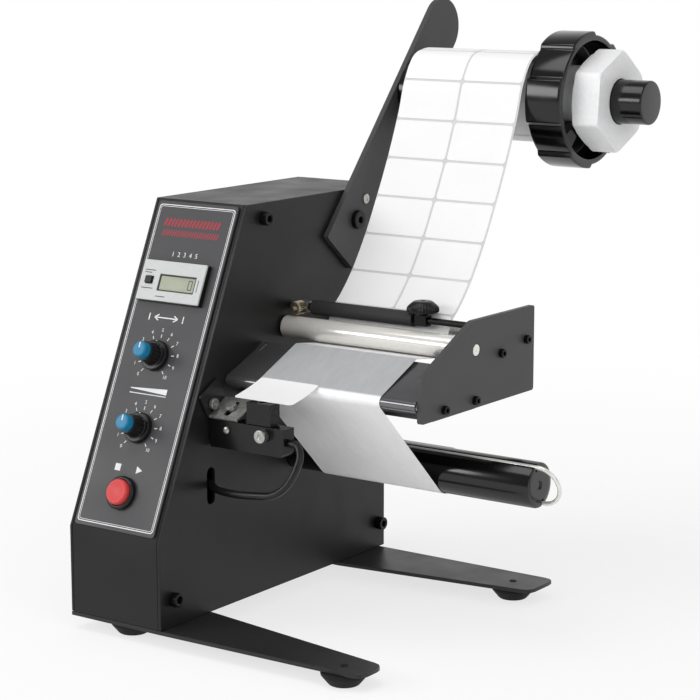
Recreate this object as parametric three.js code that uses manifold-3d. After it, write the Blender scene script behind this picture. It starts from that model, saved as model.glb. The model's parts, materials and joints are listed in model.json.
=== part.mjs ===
// Desk label dispenser: a tall sheet metal case with a sloped control panel, a label web that comes
// off a spindle on a slanted arm, runs round two rollers and over a peel plate, and is wound up
// again on a driven shaft. Everything to the right of the case is carried by its right wall.
// Millimetres. +X points right, +Y back, +Z up. While the parts are made, X is zero on the outer
// face of the right wall, Y is zero on the front face and Z is zero on the table.
import * as THREE from "three";
import { mergeVertices } from "three/addons/utils/BufferGeometryUtils.js";
import Module from "manifold-3d";

const wasm = await Module();
wasm.setup();

// Fits
const FIT = 0.3; // between pieces that are fixed to each other
const RUN = 0.4; // round a piece that turns or slides
const OVERRUN = 1; // how far a cutting tool runs past the wall that it cuts

// Case
const CASE_WIDTH = 70;
const CASE_DEPTH = 230;
const CASE_HEIGHT = 242;
const FRONT_HEIGHT = 53; // upright lower front, under the sloped panel
const PANEL_RUN = 85; // how far the sloped panel leans back
const SHEET = 1.5;
const SIDE_SHEET = 2;
const BASE_SHEET = 2;
const BOSS_SIZE = 12; // threaded blocks in the case's corners
const BOSS_DEPTH = 16;
const VENT_LENGTH = 60;
const VENT_HEIGHT = 3;
const VENT_PITCH = 9;
const VENT_COUNT = 8;
const VENT_FRONT = 120;
const VENT_BOTTOM = 60; // lowest vent over the case's underside

// Feet and the bars that carry them
const FOOT_HEIGHT = 8;
const FOOT_TOP_RADIUS = 13.5;
const FOOT_BASE_RADIUS = 8.5;
const FOOT_LIP = 2; // straight rim at the top of a foot
const FOOT_STUD_RADIUS = 2;
const FOOT_STUD_REACH = 6; // stud's length over the bar, inside the case
const BAR_THICKNESS = 3;
const BAR_ROOT_WIDTH = 47.5;
const BAR_CORNER = 7;
const FRONT_BAR_REACH = 140.5; // from the right wall to the end of the front bar
const FRONT_BAR_END_SETBACK = 3; // the bar's outer edge at its end, behind the case's front face
const FRONT_BAR_END_WIDTH = 23;
const FRONT_FOOT_INSET = 18; // from the bar's end to its foot
const FRONT_FOOT_SETBACK = 13;
const REAR_BAR_REACH = 134;
const REAR_BAR_MARGIN = 4; // the rear bar's outer edge, ahead of the case's rear face
const REAR_BAR_END_WIDTH = 30.5;
const REAR_FOOT_INSET = 20;
const REAR_FOOT_MARGIN = 22;
const CASE_FOOT_SETBACK = 16;
const CASE_FOOT_MARGIN = 22;

// Socket head screws of the case
const SCREW_HEAD_RADIUS = 4.25;
const SCREW_HEAD_HEIGHT = 5;
const SCREW_SHANK_RADIUS = 2;
const SCREW_SHANK_LENGTH = 14;
const SCREW_SOCKET_FLATS = 4;
const SCREW_SOCKET_DEPTH = 2.5;
const TOP_SCREW_SETBACK = 16; // from the fold behind the panel
const TOP_SCREW_DROP = 9.5; // under the case's top
const FRONT_SCREW_SETBACK = 11.7;
const REAR_SCREW_SETBACK = 7.2;
const LOW_SCREW_RISE = 16.5;

// Arm and its fixings
const ARM_WIDTH = 37;
const ARM_THICKNESS = 4;
const ARM_LENGTH = 199.5;
const ARM_LEAN_DEG = 40.2; // back from upright
const ARM_END_MARGIN = 54.6; // from the rear face to the middle of the arm's lower end
const ARM_END_DROP = 39.5; // and from the case's top
const ARM_CORNER = 2;
const ARM_BOLT_PLACE = 26.3; // along the arm from its lower end
const ARM_PIN_PLACE = 42.5;
const ARM_SPINDLE_PLACE = 127.4;
const ARM_BOLT_HEAD_RADIUS = 6;
const ARM_BOLT_HEAD_HEIGHT = 3.4;
const ARM_BOLT_RADIUS = 3;
const ARM_BOLT_SOCKET_FLATS = 4;
const ARM_BOLT_SOCKET_DEPTH = 2;
const ARM_NUT_RADIUS = 7; // clinch nut on the inner face of the right wall
const ARM_NUT_HEIGHT = 7;
const ARM_PIN_RADIUS = 3.2;
const ARM_PIN_PROUD = 0.6;

// Supply spindle, label roll, hub and nut
const SPINDLE_RADIUS = 13.5;
const SPINDLE_TAIL = 20.9; // past the hub nut
const SPINDLE_CHAMFER = 1.5;
const SPINDLE_JOURNAL_RADIUS = 6;
const SPINDLE_JOURNAL_TAIL = 7; // past the arm's back face
const SHOULDER_RADIUS = 20;
const SPINDLE_NUT_FLATS = 19;
const SPINDLE_NUT_HEIGHT = 6;
const WEB_START = 25; // left edge of the roll and the web, from the right wall
const WEB_WIDTH = 87;
const CORE_WALL = 3;
const ROLL_RADIUS = 27.5;
const HUB_LENGTH = 24.5;
const HUB_RADIUS = 40;
const HUB_WALL = 3.5;
const HUB_FLOOR = 7;
const HUB_LOBES = 5;
const HUB_LOBE_HEIGHT = 2.2;
const HUB_LOBE_DEG = 43;
const HUB_LOBE_TURN_DEG = 13; // where the first lobe starts
const HUB_LUG_DEPTH = 14; // inward from the cup's wall
const HUB_LUG_LENGTH = 9;
const HUB_LUG_DEG = 16;
const HUB_LUG_TURN_DEG = 211;
const HUB_SLIT = 1.6;
const HUB_SLIT_DEG = -38.5;
const NUT_FLATS = 55;
const NUT_HEX_LENGTH = 18.5;
const NUT_TURN_DEG = 10; // how far the front flat leans
const NUT_NECK_RADIUS = 21;
const NUT_NECK_LENGTH = 18;
const NUT_CHAMFER = 2;
const NUT_CHAMFER_RUN = 4;

// Roller bay between the right wall and the outboard plate
const BAY_WIDTH = 136;
const OUTBOARD_SHEET = 3;
const BAY_SETBACK = 64.5; // lower front corner of the outboard plate, behind the front face
const BAY_RISE = 129.5; // and over the case's underside
// Distances back and up in the bay are from that corner.
const OUTBOARD_DEPTH = 122.5;
const OUTBOARD_HEIGHT = 52;
const OUTBOARD_NOSE_HEIGHT = 26.2;
const OUTBOARD_CHAMFER_BACK = 52.5;
const OUTBOARD_CORNER = 2;
const BAY_SCREW_HEAD_RADIUS = 2.7;
const BAY_SCREW_HEAD_HEIGHT = 3;
const BAY_SCREW_SHANK_RADIUS = 1.6;
const BAY_SCREW_SHANK_LENGTH = 9;
const BAY_SCREW_SOCKET_FLATS = 2.6;
const BAY_SCREW_SOCKET_DEPTH = 1.6;
const ROD_RADIUS = 4;
const ROD_END_RADIUS = 3; // stub through the right wall
const ROD_END_LENGTH = 8;
const REAR_ROD_BACK = 112.5;
const REAR_ROD_UP = 32.5;
const MID_ROD_BACK = 84;
const MID_ROD_UP = 28.4;
const TRAY_BACK = 17; // front edge of the tray
const TRAY_DEPTH = 44.5;
const TRAY_DROP = 1.5; // its underside, below the corner
const TRAY_SHEET = 2;
const TRAY_FLANGE = 12.5;
const TRAY_NUT_RADIUS = 3.4;
const TRAY_NUT_LENGTH = 6;
const TRAY_SCREW_INSET = 5.8; // from the tray's front and rear edges
const TRAY_SCREW_UP = 6.3; // over its underside

// Peel plate
const PEEL_SHEET = 1.5;
const PEEL_SLOPE_DEG = 24;
const PEEL_NOSE_RADIUS = 3.75;
const PEEL_NOSE_BACK = 1.5; // nose centre
const PEEL_NOSE_UP = 11.3; // over the tray's underside
const PEEL_RUN = 34.6; // level distance from the nose centre to the rear edge
const PEEL_HEM = 10; // of the return under the nose
const PEEL_FLANGE_INSET = 2.6; // from the rear edge
const PEEL_FLANGE_WIDTH = 6.5;

// Rollers
const ROLLER_RADIUS = 7;
const ROLLER_BACK = 57.4;
const ROLLER_UP = 34.2;
const ROLLER_SIDE_GAP = 1.5;
const ROLLER_JOURNAL_RADIUS = 3.5;
const ROLLER_TAIL = 12; // journal inside the case
const PRESS_BACK = 9.6; // from the guide roller's axis
const PRESS_UP = 11.9; // over it
const PRESS_SHAFT_RADIUS = 2;
const PRESS_SHAFT_TAIL = 6;
const PRESS_SOCKET_DEPTH = 1.5; // blind hole in the outboard plate
const PRESS_ROLLER_RADIUS = 4.5;
const PRESS_ROLLER_START = 15;
const PRESS_ROLLER_LENGTH = 74.5;
const BLOCK_WIDTH = 8;
const BLOCK_SIZE = 6.4;
const LEFT_BLOCK_START = 4.5;
const RIGHT_BLOCK_GAP = 1.8; // from the press roller
const THUMB_STEM_RADIUS = 1.4;
const KNOB_NECK_RADIUS = 3.2;
const KNOB_NECK_HEIGHT = 1.4;
const KNOB_RADIUS = 9.7;
const KNOB_HEIGHT = 6.8;
const KNOB_RIM_HEIGHT = 3;
const KNOB_CROWN_RADIUS = 5.5;
const KNURLED_RADIUS = 4.4;
const KNURLED_LENGTH = 7.5;
const KNURLED_CHAMFER = 0.8;
const KNURLED_TIP_RADIUS = 1.4;
const KNURLED_TIP_LENGTH = 2;

// Label web. Its two falls and the peeled label follow hand chosen shares.
const WEB_THICKNESS = 0.4;
const WEB_STEP_DEG = 15;
const WEB_STAND_OFF = 0.3; // from what it runs round
const LINER_WRAP_DEG = 200; // how far the liner is laid round the rewind shaft
const PEEL_EDGE_RADIUS = 0.6;
const LABEL_WIDTH = 42;
const LABEL_LENGTH = 27;
const LABEL_MARGIN = 1;
const LABEL_THICKNESS = 0.3;
const LABEL_DROOP = 4.5;
const LABEL_BEND_SHARE = 0.33; // of its length, where it starts to droop
// Shares of the run and the drop from the top of the roll to the back of the press roller.
const WEB_FALL_SHARES = [
  [0.853, 1.01],
  [0.737, 0.985],
  [0.654, 0.895],
  [0.593, 0.756],
  [0.501, 0.584],
  [0.4, 0.425],
  [0.29, 0.269],
  [0.174, 0.136],
  [0.079, 0.053],
];

// Rewind shaft, its clip and its motor
const REWIND_SETBACK = 135;
const REWIND_RISE = 85.6;
const REWIND_RADIUS = 13.6;
const REWIND_END = 175;
const REWIND_CHAMFER = 1;
const REWIND_STUB_RADIUS = 5;
const REWIND_STUB_LENGTH = 13;
const CLIP_WIRE = 2.6;
const CLIP_RADIUS = 11.2; // each leg from the shaft's axis
const CLIP_TURN_DEG = 110; // upper leg, from straight back
const CLIP_LEG_LENGTH = 115;
const CLIP_OVERHANG = 2; // straight part of a leg past the shaft's end
const CLIP_SIDES = 6;
const CLIP_STEP = 5;
const CLIP_LEG_STEP = 10;
const GEARBOX_RADIUS = 25;
const GEARBOX_LENGTH = 30;
const MOTOR_RADIUS = 17.5;
const MOTOR_CLEARANCE = 4.7; // from the left wall

// Label sensor under the peel nose
const BRACKET_SHEET = 1.5;
const BRACKET_SLOPE_DEG = 30;
const BRACKET_AHEAD = 21.2; // from the nose centre to the slotted plate's lower front edge
const BRACKET_DROP = 19.5;
const BRACKET_LENGTH = 18.7;
const BRACKET_WIDTH = 22.5;
const BRACKET_SLOT_WIDTH = 4.4;
const BRACKET_SLOT_LENGTH = 13;
const BRACKET_FLANGE_HEIGHT = 16;
const BRACKET_SCREW_UP = 8.3; // from the slotted plate's lower front edge
const BRACKET_SCREW_BACK = 2.8;
const BRACKET_SCREW_RADIUS = 3.4;
const BRACKET_SCREW_BORE = 1.4;
const BRACKET_SCREW_HEIGHT = 2.6;
const HOLDER_START = 1.5;
const HOLDER_LENGTH = 54.5;
const HOLDER_BACK = 1.2; // its front face, from the slotted plate's lower front edge
const HOLDER_DROP = 17.3; // its underside, below that edge
const HOLDER_DEPTH = 10;
const HOLDER_HEIGHT = 16.7;
const HOLDER_CHAMFER = 2.5;
const LUG_THICKNESS = 2;
const LUG_NECK_DEPTH = 4;
const LUG_NECK_HEIGHT = 3.2; // over the bar's top
const CLAMP_HEAD_RADIUS = 3.5;
const CLAMP_HEAD_HEIGHT = 3.2;
const CLAMP_SHANK_RADIUS = 1.8;
const CLAMP_REACH = 3.4; // shank under the slotted plate
const CLAMP_PLACE = 9.4; // up the slope
const HEAD_START = 28.5;
const HEAD_WIDTH = 17.5;
const HEAD_DEPTH = 9;
const HEAD_HEIGHT = 13;
const HEAD_EYE_RADIUS = 2.2;
const HEAD_EYE_DEPTH = 1;
const THUMB_SCREW_PLACE = 41.7;
const THUMB_SCREW_UP = 11.7; // over the bar's underside
const THUMB_SCREW_RADIUS = 4;
const THUMB_SCREW_LENGTH = 5;
const THUMB_SCREW_STEM = 1.5;
const THUMB_SCREW_STEM_LENGTH = 6;
const CABLE_RADIUS = 2.3;
const CABLE_SIDES = 10;
const CABLE_STEP = 5;
const WALL_SLOT_BACK = 2; // its middle, from the bar's front face
const WALL_SLOT_DROP = 13.5; // its top, below the bar's underside
const WALL_SLOT_LENGTH = 22.5;
const WALL_SLOT_WIDTH = 7.5;
// Free route of the sensor cable, from the right wall and the bar's lower front edge. It ends
// where it goes into the bar's right end.
const CABLE_ROUTE = [
  [-9, 2, -22.5],
  [0, 1.5, -23.5],
  [8, -2.5, -25],
  [22, -5.5, -24.9],
  [38, -6, -23.7],
  [52, -5.5, -21.5],
  [60.5, -4, -15.5],
  [65, -1, -6.5],
  [65.5, 3, 2],
  [62, 5, 7.2],
  [58.8, 5, 8],
  [56.4, 5, 8],
];

// Control panel. Rises are measured up the slope from its lower fold.
const PLATE_SHEET = 1.2;
const PLATE_MARGIN = 2;
const PLATE_CORNER = 2;
const COUNTER_WIDTH = 48;
const COUNTER_HEIGHT = 25;
const COUNTER_PROUD = 4;
const COUNTER_BODY_INSET = 2;
const COUNTER_BODY_DEPTH = 26;
const COUNTER_SHIFT = 2; // to the left of the case's middle
const COUNTER_STEP = 45.2; // up from the length dial
const WINDOW_WIDTH = 28;
const WINDOW_HEIGHT = 10.4;
const WINDOW_DEPTH = 1;
const WINDOW_SHIFT = 4.5;
const WINDOW_DROP = 1;
const RESET_WIDTH = 5;
const RESET_HEIGHT = 4;
const RESET_SHIFT = -17;
const RESET_PROUD = 1.4;
const RESET_LENGTH = 3;
const LENGTH_DIAL_SHIFT = 2;
const LENGTH_DIAL_STEP = 44.5; // up from the speed dial
const SPEED_DIAL_SHIFT = 0.5;
const SPEED_DIAL_STEP = 40; // up from the button
const DIAL_SKIRT_RADIUS = 9.5;
const DIAL_SKIRT_HEIGHT = 3;
const DIAL_BODY_RADIUS = 6.8;
const DIAL_CAP_RADIUS = 5.2;
const DIAL_HEIGHT = 17;
const DIAL_CAP_SHARE = 0.72;
const DIAL_SHAFT_RADIUS = 3;
const DIAL_SHAFT_DEPTH = 12; // under the panel's face
const POT_RADIUS = 8.5;
const POT_DEPTH = 10;
const BOARD_THICKNESS = 1.6;
const BOARD_WIDTH = 52;
const BOARD_MARGIN = 15; // past the dials' axes, up and down the slope
const BUTTON_SHIFT = 0.5;
const BUTTON_RISE = 24.5;
const BUTTON_BEZEL_RADIUS = 10.2;
const BUTTON_BEZEL_HEIGHT = 3.2;
const BUTTON_NECK_RADIUS = 8.9;
const BUTTON_NECK_DEPTH = 14;
const BUTTON_RADIUS = 7.8;
const BUTTON_PROUD = 6.4;
const BUTTON_DEPTH = 9;
const BUTTON_EDGE = 1;

// Power inlet with its rocker, low on the rear wall
const INLET_WIDTH = 30;
const INLET_HEIGHT = 48;
const INLET_FLANGE = 2.4;
const INLET_BODY_INSET = 2;
const INLET_BODY_DEPTH = 26;
const INLET_RISE = 60;
const INLET_CORNER = 3;
const SOCKET_WIDTH = 22;
const SOCKET_HEIGHT = 16;
const SOCKET_DEPTH = 16;
const SOCKET_SHIFT = -11;
const SOCKET_CORNER_WIDTH = 5.5; // its two cut corners
const SOCKET_CORNER_HEIGHT = 4;
const ROCKER_WIDTH = 17;
const ROCKER_HEIGHT = 13;
const ROCKER_SHIFT = 13;
const ROCKER_DEPTH = 7;
const ROCKER_ROOT_HEIGHT = 6.5;
const ROCKER_PROUD = 1.6;
const ROCKER_POCKET = 12;
const ROCKER_TILT_DEG = 8; // in its off place, lower half out

// Smoothness
const ROUND_STEPS = 32;
const SMALL_ROUND_STEPS = 16;
const HALF_ROUND_STEPS = 8;
const CORNER_STEPS = 3;
const FALL_STEPS = 27; // of the web between the roll and the press roller
const LABEL_STEPS = 6;
const MERGE_DISTANCE = 1e-4; // points closer than this are one

// Places worked out from the sizes
const DEG = Math.PI / 180;
const CASE_BOTTOM = FOOT_HEIGHT + BAR_THICKNESS;
const CASE_TOP = CASE_BOTTOM + CASE_HEIGHT;
const PANEL_FOOT = CASE_BOTTOM + FRONT_HEIGHT;
const PANEL_LENGTH = Math.hypot(PANEL_RUN, CASE_HEIGHT - FRONT_HEIGHT);
const PANEL_TILT = Math.atan2(CASE_HEIGHT - FRONT_HEIGHT, PANEL_RUN);
const WALL_INNER = -SIDE_SHEET;
const rise = (height) => CASE_BOTTOM + height;
const CASE_MIDDLE = -CASE_WIDTH / 2;
const SHELL_LEFT = -CASE_WIDTH + SIDE_SHEET + FIT;
const SHELL_RIGHT = WALL_INNER - FIT;
const WEB_END = WEB_START + WEB_WIDTH;
const HUB_START = WEB_END + FIT;
const HUB_END = HUB_START + HUB_LENGTH;
const NUT_START = HUB_START + HUB_FLOOR + FIT;
const NUT_HEX_START = NUT_START + NUT_NECK_LENGTH;
const NUT_END = NUT_HEX_START + NUT_HEX_LENGTH;
const SPINDLE_END = NUT_END + SPINDLE_TAIL;
const ARM_LEAN = ARM_LEAN_DEG * DEG;
const ARM_END = [CASE_DEPTH - ARM_END_MARGIN, CASE_TOP - ARM_END_DROP];
const alongArm = (distance) => [
  ARM_END[0] + distance * Math.sin(ARM_LEAN),
  ARM_END[1] + distance * Math.cos(ARM_LEAN),
];
const ARM_BOLT_AT = alongArm(ARM_BOLT_PLACE);
const ARM_PIN_AT = alongArm(ARM_PIN_PLACE);
const SPINDLE = alongArm(ARM_SPINDLE_PLACE);
const inBay = (back, up) => [BAY_SETBACK + back, rise(BAY_RISE) + up];
const ROLLER = inBay(ROLLER_BACK, ROLLER_UP);
const PRESS = [ROLLER[0] + PRESS_BACK, ROLLER[1] + PRESS_UP];
const PRESS_ROLLER_END = PRESS_ROLLER_START + PRESS_ROLLER_LENGTH;
const RIGHT_BLOCK_START = PRESS_ROLLER_END + RIGHT_BLOCK_GAP;
const REWIND = [REWIND_SETBACK, rise(REWIND_RISE)];
const CLIP_LEG_END = REWIND_END + CLIP_OVERHANG;
const CLIP_LEG_START = CLIP_LEG_END - CLIP_LEG_LENGTH;
const [TRAY_FRONT, TRAY_BOTTOM] = inBay(TRAY_BACK, -TRAY_DROP);
const TRAY_REAR = TRAY_FRONT + TRAY_DEPTH;
const TRAY_TOP = TRAY_BOTTOM + TRAY_SHEET;
const NOSE = inBay(PEEL_NOSE_BACK, PEEL_NOSE_UP - TRAY_DROP);
const PEEL_REAR = NOSE[0] + PEEL_RUN;
const BRACKET_EDGE = [NOSE[0] - BRACKET_AHEAD, NOSE[1] - BRACKET_DROP];
const BRACKET_SCREW_AT = [BRACKET_EDGE[0] + BRACKET_SCREW_BACK, BRACKET_EDGE[1] + BRACKET_SCREW_UP];
const HOLDER_FRONT = BRACKET_EDGE[0] + HOLDER_BACK;
const HOLDER_BOTTOM = BRACKET_EDGE[1] - HOLDER_DROP;
const HOLDER_TOP = HOLDER_BOTTOM + HOLDER_HEIGHT;
const HOLDER_END = HOLDER_START + HOLDER_LENGTH;
const SPEED_DIAL_RISE = BUTTON_RISE + SPEED_DIAL_STEP;
const LENGTH_DIAL_RISE = SPEED_DIAL_RISE + LENGTH_DIAL_STEP;
const COUNTER_MIDDLE = [CASE_MIDDLE - COUNTER_SHIFT, LENGTH_DIAL_RISE + COUNTER_STEP];
const DIALS = [
  [CASE_MIDDLE - LENGTH_DIAL_SHIFT, LENGTH_DIAL_RISE],
  [CASE_MIDDLE - SPEED_DIAL_SHIFT, SPEED_DIAL_RISE],
];
const BUTTON = [CASE_MIDDLE - BUTTON_SHIFT, BUTTON_RISE];
const CASE_OUTLINE = [
  [0, CASE_BOTTOM],
  [CASE_DEPTH, CASE_BOTTOM],
  [CASE_DEPTH, CASE_TOP],
  [PANEL_RUN, CASE_TOP],
  [0, PANEL_FOOT],
];
const SIDE_SCREWS = [
  [PANEL_RUN + TOP_SCREW_SETBACK, CASE_TOP - TOP_SCREW_DROP],
  [FRONT_SCREW_SETBACK, rise(LOW_SCREW_RISE)],
  [CASE_DEPTH - REAR_SCREW_SETBACK, rise(LOW_SCREW_RISE)],
];
const BAY_SCREWS = [
  inBay(REAR_ROD_BACK, REAR_ROD_UP),
  inBay(MID_ROD_BACK, MID_ROD_UP),
  [TRAY_REAR - TRAY_SCREW_INSET, TRAY_BOTTOM + TRAY_SCREW_UP],
  [TRAY_FRONT + TRAY_SCREW_INSET, TRAY_BOTTOM + TRAY_SCREW_UP],
];

// Solids from three.js shapes
function solid(geometry) {
  const bare = new THREE.BufferGeometry();
  bare.setAttribute("position", geometry.getAttribute("position"));
  if (geometry.index) bare.setIndex(geometry.index);
  const merged = mergeVertices(bare, MERGE_DISTANCE);
  const triVerts = new Uint32Array(merged.index.array);
  const vertProperties = merged.getAttribute("position").array;
  const made = new wasm.Manifold(new wasm.Mesh({ numProp: 3, vertProperties, triVerts }));
  if (made.volume() > 0) return made;
  for (let i = 0; i < triVerts.length; i += 3) {
    [triVerts[i + 1], triVerts[i + 2]] = [triVerts[i + 2], triVerts[i + 1]];
  }
  return new wasm.Manifold(new wasm.Mesh({ numProp: 3, vertProperties, triVerts }));
}

function asGeometry(body) {
  const { vertProperties, triVerts } = body.getMesh();
  const geometry = new THREE.BufferGeometry();
  geometry.setAttribute("position", new THREE.BufferAttribute(new Float32Array(vertProperties), 3));
  geometry.setIndex(new THREE.BufferAttribute(new Uint32Array(triVerts), 1));
  return geometry;
}

function moved(body, matrix) {
  return solid(asGeometry(body).applyMatrix4(matrix));
}

function joined(first, ...others) {
  return others.reduce((sum, other) => sum.add(other), first);
}

function cut(body, ...tools) {
  return tools.reduce((rest, tool) => rest.subtract(tool), body);
}

function block(x0, x1, y0, y1, z0, z1) {
  const geometry = new THREE.BoxGeometry(x1 - x0, y1 - y0, z1 - z0);
  return solid(geometry.translate((x0 + x1) / 2, (y0 + y1) / 2, (z0 + z1) / 2));
}

// A closed outline; a point's third value rounds its corner.
function outlineShape(points) {
  const shape = new THREE.Shape();
  points.forEach(([u, v, radius = 0], i) => {
    const before = points[(i + points.length - 1) % points.length];
    const after = points[(i + 1) % points.length];
    const towards = ([a, b]) => {
      const share = radius / Math.hypot(a - u, b - v);
      return [u + (a - u) * share, v + (b - v) * share];
    };
    if (radius === 0) return i ? shape.lineTo(u, v) : shape.moveTo(u, v);
    const start = towards(before);
    if (i) shape.lineTo(...start);
    else shape.moveTo(...start);
    return shape.quadraticCurveTo(u, v, ...towards(after));
  });
  shape.closePath();
  return shape;
}

function extruded(shape, depth) {
  return new THREE.ExtrudeGeometry(shape, { depth, bevelEnabled: false, curveSegments: CORNER_STEPS });
}

const AXES_X = new THREE.Matrix4().set(0, 0, 1, 0, 1, 0, 0, 0, 0, 1, 0, 0, 0, 0, 0, 1);
const AXES_Y = new THREE.Matrix4().set(0, 1, 0, 0, 0, 0, 1, 0, 1, 0, 0, 0, 0, 0, 0, 1);

// Outline in (y, z), drawn out from x0 to x1.
function prismX(points, x0, x1) {
  const geometry = extruded(outlineShape(points), x1 - x0).applyMatrix4(AXES_X);
  return solid(geometry.translate(x0, 0, 0));
}

// Outline in (z, x), drawn out from y0 to y1.
function prismY(points, y0, y1) {
  const geometry = extruded(outlineShape(points), y1 - y0).applyMatrix4(AXES_Y);
  return solid(geometry.translate(0, y0, 0));
}

// Outline in (x, y), drawn out from z0 to z1.
function prismZ(points, z0, z1) {
  return solid(extruded(outlineShape(points), z1 - z0).translate(0, 0, z0));
}

function rectangle(u0, u1, v0, v1, corner = 0) {
  return [
    [u0, v0, corner],
    [u1, v0, corner],
    [u1, v1, corner],
    [u0, v1, corner],
  ];
}

// Turned about an axis along Z through the origin: a closed profile of [radius, height].
function turned(profile, steps = ROUND_STEPS) {
  const points = profile.map(([radius, height]) => new THREE.Vector2(radius, height));
  return new THREE.LatheGeometry([...points, points[0]], steps).rotateX(Math.PI / 2);
}

// Turned about an axis along X through (y, z): a closed profile of [radius, x].
function turnedX(profile, [y, z], steps = ROUND_STEPS) {
  return solid(turned(profile, steps).rotateY(Math.PI / 2).translate(0, y, z));
}

function turnedZ(profile, [x, y], steps = ROUND_STEPS) {
  return solid(turned(profile, steps).translate(x, y, 0));
}

// Turned about an axis along Y through a point: a closed profile of [radius, distance forward].
function turnedForward(profile, [x, y, z]) {
  return solid(turned(profile, SMALL_ROUND_STEPS).rotateX(Math.PI / 2).translate(x, y, z));
}

function rod(radius, start, end) {
  return [
    [0, start],
    [radius, start],
    [radius, end],
    [0, end],
  ];
}

function ring(inner, outer, start, end) {
  return [
    [inner, start],
    [outer, start],
    [outer, end],
    [inner, end],
  ];
}

const drillX = (radius, x0, x1, place, steps = SMALL_ROUND_STEPS) =>
  turnedX(rod(radius, x0, x1), place, steps);

// Six-sided outline with its flats this far apart; turn is where a corner points.
function hexagon(flats, [u, v], turn = 0) {
  const radius = flats / Math.sqrt(3);
  return Array.from({ length: 6 }, (_, i) => {
    const angle = turn + (i * Math.PI) / 3;
    return [u + radius * Math.cos(angle), v + radius * Math.sin(angle)];
  });
}

// Socket head screw along X: its head on the plane x, its shank going to the left.
function socketScrew(x, place, size) {
  const body = turnedX(
    [
      [0, x - size.length],
      [size.shank, x - size.length],
      [size.shank, x + FIT],
      [size.head, x + FIT],
      [size.head, x + size.height],
      [0, x + size.height],
    ],
    place,
    SMALL_ROUND_STEPS,
  );
  const socket = hexagon(size.flats, place);
  return cut(body, prismX(socket, x + size.height - size.socket, x + size.height + OVERRUN));
}

const CASE_SCREW = {
  head: SCREW_HEAD_RADIUS,
  height: SCREW_HEAD_HEIGHT,
  shank: SCREW_SHANK_RADIUS,
  length: SCREW_SHANK_LENGTH,
  flats: SCREW_SOCKET_FLATS,
  socket: SCREW_SOCKET_DEPTH,
};
const BAY_SCREW = {
  head: BAY_SCREW_HEAD_RADIUS,
  height: BAY_SCREW_HEAD_HEIGHT,
  shank: BAY_SCREW_SHANK_RADIUS,
  length: BAY_SCREW_SHANK_LENGTH,
  flats: BAY_SCREW_SOCKET_FLATS,
  socket: BAY_SCREW_SOCKET_DEPTH,
};
const ARM_BOLT = {
  head: ARM_BOLT_HEAD_RADIUS,
  height: ARM_BOLT_HEAD_HEIGHT,
  shank: ARM_BOLT_RADIUS,
  length: ARM_THICKNESS + SIDE_SHEET + ARM_NUT_HEIGHT,
  flats: ARM_BOLT_SOCKET_FLATS,
  socket: ARM_BOLT_SOCKET_DEPTH,
};

// The sloped panel's own frame: X right, Y up the slope, Z out of the panel.
const panel = new THREE.Group();
panel.position.z = PANEL_FOOT;
panel.rotation.x = PANEL_TILT;
panel.updateMatrix();

const PLATE_FACE = FIT + PLATE_SHEET; // outer face of the control plate, in the panel's frame
const COUNTER = {
  x0: COUNTER_MIDDLE[0] - COUNTER_WIDTH / 2,
  x1: COUNTER_MIDDLE[0] + COUNTER_WIDTH / 2,
  y0: COUNTER_MIDDLE[1] - COUNTER_HEIGHT / 2,
  y1: COUNTER_MIDDLE[1] + COUNTER_HEIGHT / 2,
};
const COUNTER_BODY = {
  x0: COUNTER.x0 + COUNTER_BODY_INSET,
  x1: COUNTER.x1 - COUNTER_BODY_INSET,
  y0: COUNTER.y0 + COUNTER_BODY_INSET,
  y1: COUNTER.y1 - COUNTER_BODY_INSET,
};

// Cut-outs that the sloped wall and the control plate share
function panelCuts(low, high) {
  const body = COUNTER_BODY;
  const counter = block(body.x0 - FIT, body.x1 + FIT, body.y0 - FIT, body.y1 + FIT, low, high);
  const dials = DIALS.map((place) =>
    turnedZ(rod(DIAL_SHAFT_RADIUS + RUN, low, high), place, SMALL_ROUND_STEPS),
  );
  const button = turnedZ(rod(BUTTON_NECK_RADIUS + FIT, low, high), BUTTON, SMALL_ROUND_STEPS);
  return [counter, ...dials, button];
}

const INLET = { x: CASE_MIDDLE, z: rise(INLET_RISE) };
const INLET_BODY = {
  x0: INLET.x - INLET_WIDTH / 2 + INLET_BODY_INSET,
  x1: INLET.x + INLET_WIDTH / 2 - INLET_BODY_INSET,
  z0: INLET.z - INLET_HEIGHT / 2 + INLET_BODY_INSET,
  z1: INLET.z + INLET_HEIGHT / 2 - INLET_BODY_INSET,
};

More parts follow.
